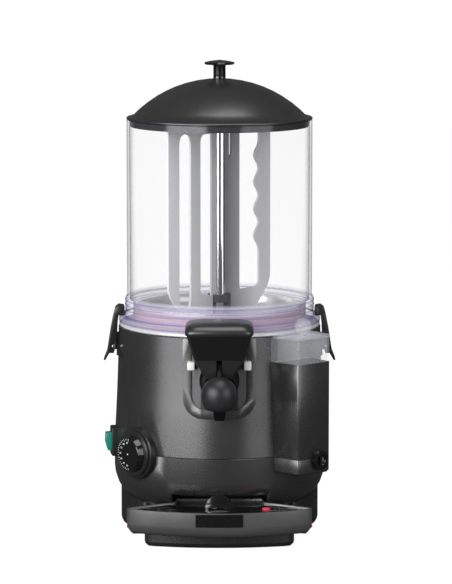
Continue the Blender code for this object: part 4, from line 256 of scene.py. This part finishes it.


# Container: a clear polycarbonate jar on a thick collar, blow-moulded, with a faint violet cast. Its wall is
# painted darker where it is seen edge on, grey and in the collar deep violet: painted shade over that tint.
# Its red silicone seal sits in the collar's bore round the bowl.
def clear_plastic(name, face, edge, thin, thick, rough, start):
    """Clear sheet under a faint haze: seen edge on, its wall turns more opaque and takes the edge colour,
    which is painted edge light and shade: shade on the jar, a highlight on the gauge window.
    """
    material, tree, shader = new_material(name)
    facing = add_node(tree, "ShaderNodeLayerWeight", {"Blend": 0.45})
    place = add_node(tree, "ShaderNodeTexCoord")
    haze = add_node(tree, "ShaderNodeTexNoise", {"Scale": 18.0, "Detail": 5.0},
                    {"Vector": place.outputs["Object"]})
    alpha = add_node(tree, "ShaderNodeMapRange",
                     {"From Min": start, "From Max": 1.0, "To Min": thin, "To Max": thick},
                     {"Value": facing.outputs["Facing"]})
    hazed = add_node(tree, "ShaderNodeMath", {"operation": "MULTIPLY_ADD", 1: 0.02},
                     {0: haze.outputs["Fac"], 2: alpha.outputs["Result"]})
    turn = add_node(tree, "ShaderNodeMapRange", {"From Min": start, "From Max": 0.95},
                    {"Value": facing.outputs["Facing"]})
    tone = add_node(tree, "ShaderNodeMix", {"data_type": "RGBA", 6: linear(face), 7: linear(edge)},
                    {0: turn.outputs["Result"]})
    roughness = add_node(tree, "ShaderNodeMapRange", {"To Min": rough, "To Max": rough * 2},
                         {"Value": haze.outputs["Fac"]})
    tree.links.new(tone.outputs[2], shader.inputs["Base Color"])
    tree.links.new(hazed.outputs[0], shader.inputs["Alpha"])
    tree.links.new(roughness.outputs["Result"], shader.inputs["Roughness"])
    shader.inputs["IOR"].default_value = 1.58
    return material, tree, shader, (place, turn, tone, hazed)


# Painted shade: the jar's grey edge colour darkens its wall where it is seen edge on.
CLEAR_JAR, tree, shader, (place, turn, tone, hazed) = clear_plastic(
    "clear polycarbonate jar", "#c9c9d2", "#4c4c58", 0.02, 0.52, 0.03, 0.62)
COLLAR_LOW, COLLAR_HIGH = 0.2553, 0.2880
VEIL_TOP, VEIL_FULL = 0.2885, 0.2850
COLLAR_LINES = (0.06, 0.24, 0.48, 0.66, 0.84)
LINE_HALF = 0.035
VEIL_ALPHA, LINE_ALPHA = 0.24, 0.35
height = add_node(tree, "ShaderNodeSeparateXYZ", links={"Vector": place.outputs["Object"]})
thick_zone = add_node(tree, "ShaderNodeMapRange", {"From Min": VEIL_TOP, "From Max": VEIL_FULL},
                      {"Value": height.outputs["Z"]})
# Painted shade in the collar: its violet darkens to deep violet where the wall is seen edge on.
violet = add_node(tree, "ShaderNodeMix", {"data_type": "RGBA", 6: linear("#e2deee"), 7: linear("#564e96")},
                  {0: turn.outputs["Result"]})
veil = add_node(tree, "ShaderNodeMix", {"data_type": "RGBA"},
                {0: thick_zone.outputs["Result"], 6: tone.outputs[2], 7: violet.outputs[2]})
edges = add_node(tree, "ShaderNodeMapRange", {"From Min": COLLAR_LOW, "From Max": COLLAR_HIGH},
                 {"Value": height.outputs["Z"]})
lines = add_node(tree, "ShaderNodeValToRGB", links={"Fac": edges.outputs["Result"]})
for stop in COLLAR_LINES:
    for offset, level in ((-LINE_HALF, 0.0), (0.0, 1.0), (LINE_HALF, 0.0)):
        lines.color_ramp.elements.new(stop + offset).color = (level, level, level, 1.0)
lines.color_ramp.elements[0].color = lines.color_ramp.elements[-1].color = (0, 0, 0, 1)
lined = add_node(tree, "ShaderNodeMix", {"data_type": "RGBA", 7: linear("#5a519c")},
                 {0: lines.outputs["Color"], 6: veil.outputs[2]})
thicker = add_node(tree, "ShaderNodeMath", {"operation": "MULTIPLY_ADD", 1: VEIL_ALPHA, "use_clamp": True},
                   {0: thick_zone.outputs["Result"], 2: hazed.outputs[0]})
firmer = add_node(tree, "ShaderNodeMath", {"operation": "MULTIPLY_ADD", 1: LINE_ALPHA, "use_clamp": True},
                  {0: lines.outputs["Color"], 2: thicker.outputs[0]})
tree.links.new(lined.outputs[2], shader.inputs["Base Color"])
tree.links.new(firmer.outputs[0], shader.inputs["Alpha"])
dressed("container", CLEAR_JAR, 40)
PINK_SILICONE = grained("translucent pink silicone seal", "#d8708a", "#e893a8", 0.40, 0.55, 1.2, 0.03)
PINK_SILICONE.node_tree.nodes["Principled BSDF"].inputs["Alpha"].default_value = 0.30
dressed("container_seal", PINK_SILICONE, 40)

# Lid: a spun steel dome with a satin black coat, a polished steel skirt ring under it, and a glossy
# phenolic knob, which a screw holds from below. The ring's dark tone is painted shade.
LID_COAT = satin_black("satin black coat on spun steel", "#48484a", "#5c5c5d", 0.30, "round")
dressed("lid_dome", LID_COAT, 45)
# Painted shade: the skirt's dark base colour stands in for the dark studio that its polished steel reflects.
SHADED_SKIRT_STEEL = brushed("polished steel skirt painted dark", "#2c2c2e", "#404043", 0.14, "round")
dressed("lid_skirt_ring", SHADED_SKIRT_STEEL, 40)
PHENOLIC = grained("glossy black phenolic", "#0a0a0b", "#111112", 0.10, 0.18, 1.5, 0.02, coat=0.6)
dressed("lid_knob", PHENOLIC, 40)

# Latches: over-centre levers moulded in satin black ABS, one on each side.
# They swing on pins in black nylon brackets, which are fixed to the body.
for side in ("left", "right"):
    dressed("latch_lever_" + side, BODY_ABS, edge=0.0005)
    dressed("latch_bracket_" + side, NYLON)

# Fasteners: domed pin heads on the latches, and pan-head screws with a cross recess on the rear panel and
# under the lid's dome, where one holds the knob. All are turned from stainless steel. One head is
# modelled for each kind, lying flat on its face, and the ones in place are its copies.
def head_pattern(radius, height, crossed):
    """A domed head on the floor of the scene, with a cross recess where asked."""
    bpy.ops.mesh.primitive_cylinder_add(vertices=24, radius=radius, depth=height, location=(0, 0, height / 2))
    head = bpy.context.active_object
    bpy.ops.object.transform_apply(location=True)
    dome = head.modifiers.new("dome", "BEVEL")
    dome.width = height * 0.55
    dome.segments = 3
    dome.angle_limit = math.radians(50)
    bpy.ops.object.modifier_apply(modifier=dome.name)
    for quarter in range(2 if crossed else 0):
        bpy.ops.mesh.primitive_cube_add(size=1, location=(0, 0, height))
        blade = bpy.context.active_object
        blade.scale = (radius * 1.3, radius * 0.28, height * 0.9)
        blade.rotation_euler = (0, 0, math.radians(90 * quarter))
        bpy.context.view_layer.objects.active = head
        recess = head.modifiers.new("recess", "BOOLEAN")
        recess.operation = "DIFFERENCE"
        recess.object = blade
        bpy.ops.object.modifier_apply(modifier=recess.name)
        bpy.data.objects.remove(blade)
    head.data.materials.append(POLISHED)
    bpy.ops.object.select_all(action="DESELECT")
    head.select_set(True)
    bpy.context.view_layer.objects.active = head
    bpy.ops.object.shade_smooth_by_angle(angle=math.radians(40))
    head.select_set(False)
    return head


def fastened(pattern, name, body, place, angle, axis):
    """A copy of a head's pattern, turned from facing up and set on the face at place."""
    head = bpy.data.objects.new(name, pattern.data.copy())
    bpy.context.scene.collection.objects.link(head)
    head.data.transform(Matrix.Translation(place) @ Matrix.Rotation(math.radians(angle), 4, axis))
    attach(head, body)


PIN_RADIUS, PIN_HEAD = 0.0022, 0.0009
PIN_SPREAD, PIN_HEIGHT = 0.129, 0.2245
pattern = head_pattern(PIN_RADIUS, PIN_HEAD, False)
for side, name in ((-1, "left"), (1, "right")):
    lever_low, lever_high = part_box("latch_lever_" + name)
    for end, front, angle in (("front", lever_low[1], 90), ("rear", lever_high[1], -90)):
        fastened(pattern, f"latch_pin_head_{name}_{end}", "latch_" + name,
                 (side * PIN_SPREAD, front, PIN_HEIGHT), angle, "X")
bpy.data.objects.remove(pattern)

PANEL_SCREW_RADIUS, PANEL_SCREW_HEAD = 0.0028, 0.0014
PANEL_INSET = 0.0055
panel_low, panel_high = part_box("rear_vent_panel")
pattern = head_pattern(PANEL_SCREW_RADIUS, PANEL_SCREW_HEAD, True)
for x in (panel_low[0] + PANEL_INSET, panel_high[0] - PANEL_INSET):
    for z in (panel_low[2] + PANEL_INSET, panel_high[2] - PANEL_INSET):
        fastened(pattern, "rear_panel_screw", "base", (x, panel_high[1], z), -90, "X")
bpy.data.objects.remove(pattern)

KNOB_SCREW_RADIUS, KNOB_SCREW_HEAD = 0.0036, 0.0016
DOME_SHEET = 0.0019
knob_low, knob_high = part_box("lid_knob")
pattern = head_pattern(KNOB_SCREW_RADIUS, KNOB_SCREW_HEAD, True)
fastened(pattern, "lid_knob_screw", "lid", (0, AXIS_Y, knob_low[2] - DOME_SHEET), 180, "X")
bpy.data.objects.remove(pattern)

# Tap: a surround and mount on the body, the valve with its plunger and spring, and a blackened steel
# lever with a ball, which turns on its pin under the hood. The bare face plate closes the hood's front.
SATIN_BALL = satin_black("satin black moulded ball", "#2c2c2e", "#38383a", 0.40, "round", 0.6)
HOOD_SKIN = satin_black("satin black tap hood", "#3f3f40", "#525253", 0.30, "round", 0.8)
BLACKENED = satin_black("blackened steel lever", "#101011", "#1a1a1b", 0.42, "Z", 0.7)
DARK_CHROME = brushed("dark chromed nozzle", "#3c3c40", "#55555a", 0.12, "round")
dressed("tap_escutcheon", BODY_SKIN, 40, 0.0004)
dressed("tap_mount_plate", HOOD_SKIN, 40)
dressed("tap_hood", HOOD_SKIN, 40)
for node in ("tap_valve_body", "tap_plunger", "tap_face_plate"):
    dressed(node, PHENOLIC, 45)
dressed("tap_lever_knob", SATIN_BALL, 50)
for node in ("lever_pivot_pin", "lever_link_pin"):
    dressed(node, POLISHED, 40)
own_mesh(dressed("tap_spring", POLISHED, 40))
dressed("tap_lever", BLACKENED, 30)
dressed("tap_nozzle", DARK_CHROME, 40)
dressed("tap_plunger_seal", RED_SILICONE)
WHITE_ACETAL = grained("natural white acetal", "#dfdfda", "#f2f2ee", 0.34, 0.48, 1.5, 0.03)
for node in ("tap_clip_left", "tap_clip_right"):
    dressed(node, WHITE_ACETAL)

# Drip tray: a dark grey satin tray with a bare front plate and a glossy slotted grille, which lies in it.
# A red silicone float comes up through the grille when the tray is full.
# Painted light: the tray's skin is a lighter copy of the body's, standing in for the front light its face
# reflects.
LIGHTENED_TRAY_SKIN = satin_black("satin dark grey tray", "#757576", "#8d8d8e", 0.33, "round")
dressed("drip_tray", LIGHTENED_TRAY_SKIN, 40)
dressed("drip_grille", PHENOLIC, 30, 0.0003)
dressed("tray_front_plate", PHENOLIC)
dressed("tray_float", RED_SILICONE, 40)

# Dial: a stepped knob of glossy phenolic on the body's lower left, which turns on a moulded boss with
# a ring round it.
dressed("dial_boss", BODY_ABS, 40)
dressed("dial_ring", BODY_ABS, 40)
dressed("dial_knob", PHENOLIC, 40)
# Dial print: white ticks round the left half of the knob's face, plain numbers inside them and a
# centre dot, pad-printed in white ink on the black face. It turns with the knob.
WHITE_INK = grained("white pad-printed ink", "#d9d9d6", "#efefec", 0.45, 0.60, 0.8, 0.01)
INK = 0.0001
DIAL_FACING = math.radians(220)
DIAL_HEIGHT, DIAL_REACH = 0.1055, 0.1441
FIRST_TICK, TICK_STEP, TICKS = 84, 9.6, 21
TICK_RING, TICK_LONG, TICK_SHORT, TICK_WIDTH = 0.0188, 0.0026, 0.0016, 0.00042
FIGURES = ("90", "80", "70", "60", "50", "40", "30")
FIGURE_RING, FIGURE_SIZE, FIGURE_DROP = 0.0138, 0.0030, 0.0009
DOT_RADIUS = 0.0009
outward = Vector((math.cos(DIAL_FACING), math.sin(DIAL_FACING), 0))
rightward = Vector((0, 0, 1)).cross(outward)
face = Matrix.Translation(Vector((0, AXIS_Y, DIAL_HEIGHT)) + outward * DIAL_REACH) @ Matrix(
    (rightward, Vector((0, 0, 1)), outward)).transposed().to_4x4()


def printed(piece, matrix):
    """Takes a fresh flat piece from the middle of the view and sets its mesh on the dial's face."""
    bpy.ops.object.transform_apply(location=True, rotation=True, scale=True)
    piece.data.transform(face @ matrix)
    piece.data.materials.clear()
    piece.data.materials.append(WHITE_INK)
    return piece


prints = []
for step in range(TICKS):
    length = TICK_LONG if step % 3 == 0 else TICK_SHORT
    bpy.ops.mesh.primitive_cube_add(size=1, location=(TICK_RING - length / 2, 0, 0))
    bpy.context.active_object.scale = (length, TICK_WIDTH, INK)
    angle = math.radians(FIRST_TICK + TICK_STEP * step)
    prints.append(printed(bpy.context.active_object, Matrix.Rotation(angle, 4, "Z")))
for step, value in enumerate(FIGURES):
    bpy.ops.object.text_add(location=(0, -FIGURE_DROP, 0))
    figure = bpy.context.active_object
    figure.data.body = value
    figure.data.align_x = "CENTER"
    figure.data.size = FIGURE_SIZE
    figure.data.extrude = INK / 2
    bpy.ops.object.convert(target="MESH")
    angle = math.radians(FIRST_TICK + TICK_STEP * (3 * step + 1))
    spot = Matrix.Translation((FIGURE_RING * math.cos(angle), FIGURE_RING * math.sin(angle), 0))
    prints.append(printed(bpy.context.active_object, spot))
bpy.ops.mesh.primitive_cylinder_add(vertices=20, radius=DOT_RADIUS, depth=INK)
prints.append(printed(bpy.context.active_object, Matrix()))
for item in prints:
    item.select_set(True)
bpy.context.view_layer.objects.active = prints[0]
bpy.ops.object.join()
prints[0].name = "dial_print"
prints[0].select_set(False)
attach(prints[0], "dial")

# Switch: a rocker of teal acrylic in a black nylon housing, which clips into the body's left side.
# The rocker is moulded with softly broken edges.
dressed("switch_housing", NYLON)
TEAL_ACRYLIC = grained("translucent teal acrylic", "#0f6f60", "#23917d", 0.14, 0.24, 2.0, 0.02)
dressed("switch_rocker", TEAL_ACRYLIC, edge=0.0006)

# Water box: a side tank in the body's skin, with a clear styrene gauge window and a clear lid that has
# a ball knob. The drain cap is turned into the sump's side.
# Painted highlight: the gauge's pale bluish edge colour lightens the window's and lid's edges where they are
# seen edge on.
CLEAR_GAUGE = clear_plastic("clear styrene gauge window", "#eceff4", "#cfd6e4",
                            0.11, 0.80, 0.03, 0.60)[0]
dressed("water_box", BODY_SKIN, edge=0.0005)
dressed("water_box_sump", BODY_SKIN, edge=0.0005)
dressed("water_box_window", CLEAR_GAUGE, edge=0.0004)
dressed("water_box_lid", CLEAR_GAUGE, 40)
dressed("drain_cap", PHENOLIC, 40)


# Studio: a pale floor that shows white to the camera and keeps the machine's shadow, under a soft white
# sky. To glossy surfaces both are darker, so the black skins keep their dark tones.
FLOOR_SIZE = 12
FLOOR_GLOW = 0.93
SKY_SEEN, SKY_LIGHT, SKY_MIRRORED = 1.05, 0.40, 0.10


def seen_directly(tree):
    """The light path node, and a factor of one where the camera sees a thing straight or through glass."""
    path = add_node(tree, "ShaderNodeLightPath")
    seen = add_node(tree, "ShaderNodeMath", {"operation": "MAXIMUM"},
                    {0: path.outputs["Is Camera Ray"], 1: path.outputs["Is Transmission Ray"]})
    return path, seen


bpy.ops.mesh.primitive_plane_add(size=FLOOR_SIZE, location=(0, 0, 0))
floor = bpy.context.active_object
floor.name = "studio_floor"
floor.select_set(False)
material, tree, shader = new_material("pale studio floor")
path, seen = seen_directly(tree)
tone = add_node(tree, "ShaderNodeMix", {"data_type": "RGBA", 6: linear("#8e8e8e"), 7: linear("#6e6e6e")},
                {0: seen.outputs[0]})
dimmed = add_node(tree, "ShaderNodeMix", {"data_type": "RGBA", 7: linear("#484848")},
                  {0: path.outputs["Is Glossy Ray"], 6: tone.outputs[2]})
glow = add_node(tree, "ShaderNodeMath", {"operation": "MULTIPLY", 1: FLOOR_GLOW}, {0: seen.outputs[0]})
tree.links.new(dimmed.outputs[2], shader.inputs["Base Color"])
tree.links.new(glow.outputs[0], shader.inputs["Emission Strength"])
shader.inputs["Emission Color"].default_value = (1, 1, 1, 1)
shader.inputs["Roughness"].default_value = 0.9
shader.inputs["Specular IOR Level"].default_value = 0.0
floor.data.materials.append(material)

world = bpy.data.worlds.new("soft white studio")
bpy.context.scene.world = world
world.use_nodes = True
tree = world.node_tree
tree.nodes.clear()
path, seen = seen_directly(tree)
lit = add_node(tree, "ShaderNodeMapRange", {"To Min": SKY_LIGHT, "To Max": SKY_MIRRORED},
               {"Value": path.outputs["Is Glossy Ray"]})
strength = add_node(tree, "ShaderNodeMix", {"data_type": "FLOAT", 3: SKY_SEEN},
                    {0: seen.outputs[0], 2: lit.outputs["Result"]})
sky = add_node(tree, "ShaderNodeBackground", {"Color": (1, 1, 1, 1)}, {"Strength": strength.outputs[0]})
add_node(tree, "ShaderNodeOutputWorld", links={"Surface": sky.outputs[0]})


# Lamps: a large window on the left, a weaker one on the right and a soft lamp overhead, all aimed at
# the machine's middle. They draw the long soft highlights on its skin.
MACHINE_MIDDLE = Vector((0, 0, 0.3))


def soft_lamp(name, place, width, height, power):
    light = bpy.data.lights.new(name, "AREA")
    light.shape = "RECTANGLE"
    light.size = width
    light.size_y = height
    light.energy = power
    lamp = bpy.data.objects.new(name, light)
    bpy.context.scene.collection.objects.link(lamp)
    lamp.location = place
    lamp.rotation_euler = (MACHINE_MIDDLE - Vector(place)).to_track_quat("-Z", "Y").to_euler()


soft_lamp("left_window", (-1.95, -2.05, 0.8), 3.0, 2.4, 132)
soft_lamp("overhead", (0.2, -0.6, 2.4), 1.6, 1.6, 24)
soft_lamp("right_window", (2.1, -1.8, 0.8), 2.2, 2.2, 34)

# Camera: a long lens a little above the machine, as in the photograph, with everything in focus.
# Its distance and pitch come from the photograph's level circles.
PITCH = math.radians(7.48)
REACH = 4.10
AIM = Vector((0.0079, AXIS_Y, 0.290))
LENS_MM, SENSOR_MM = 207, 36
camera = bpy.data.objects.new("camera", bpy.data.cameras.new("camera"))
bpy.context.scene.collection.objects.link(camera)
bpy.context.scene.camera = camera
camera.location = AIM + REACH * Vector((0, -math.cos(PITCH), math.sin(PITCH)))
camera.rotation_euler = (math.pi / 2 - PITCH, 0, 0)
camera.data.sensor_width = SENSOR_MM
camera.data.lens = LENS_MM

bpy.context.scene.view_settings.view_transform = "Standard"
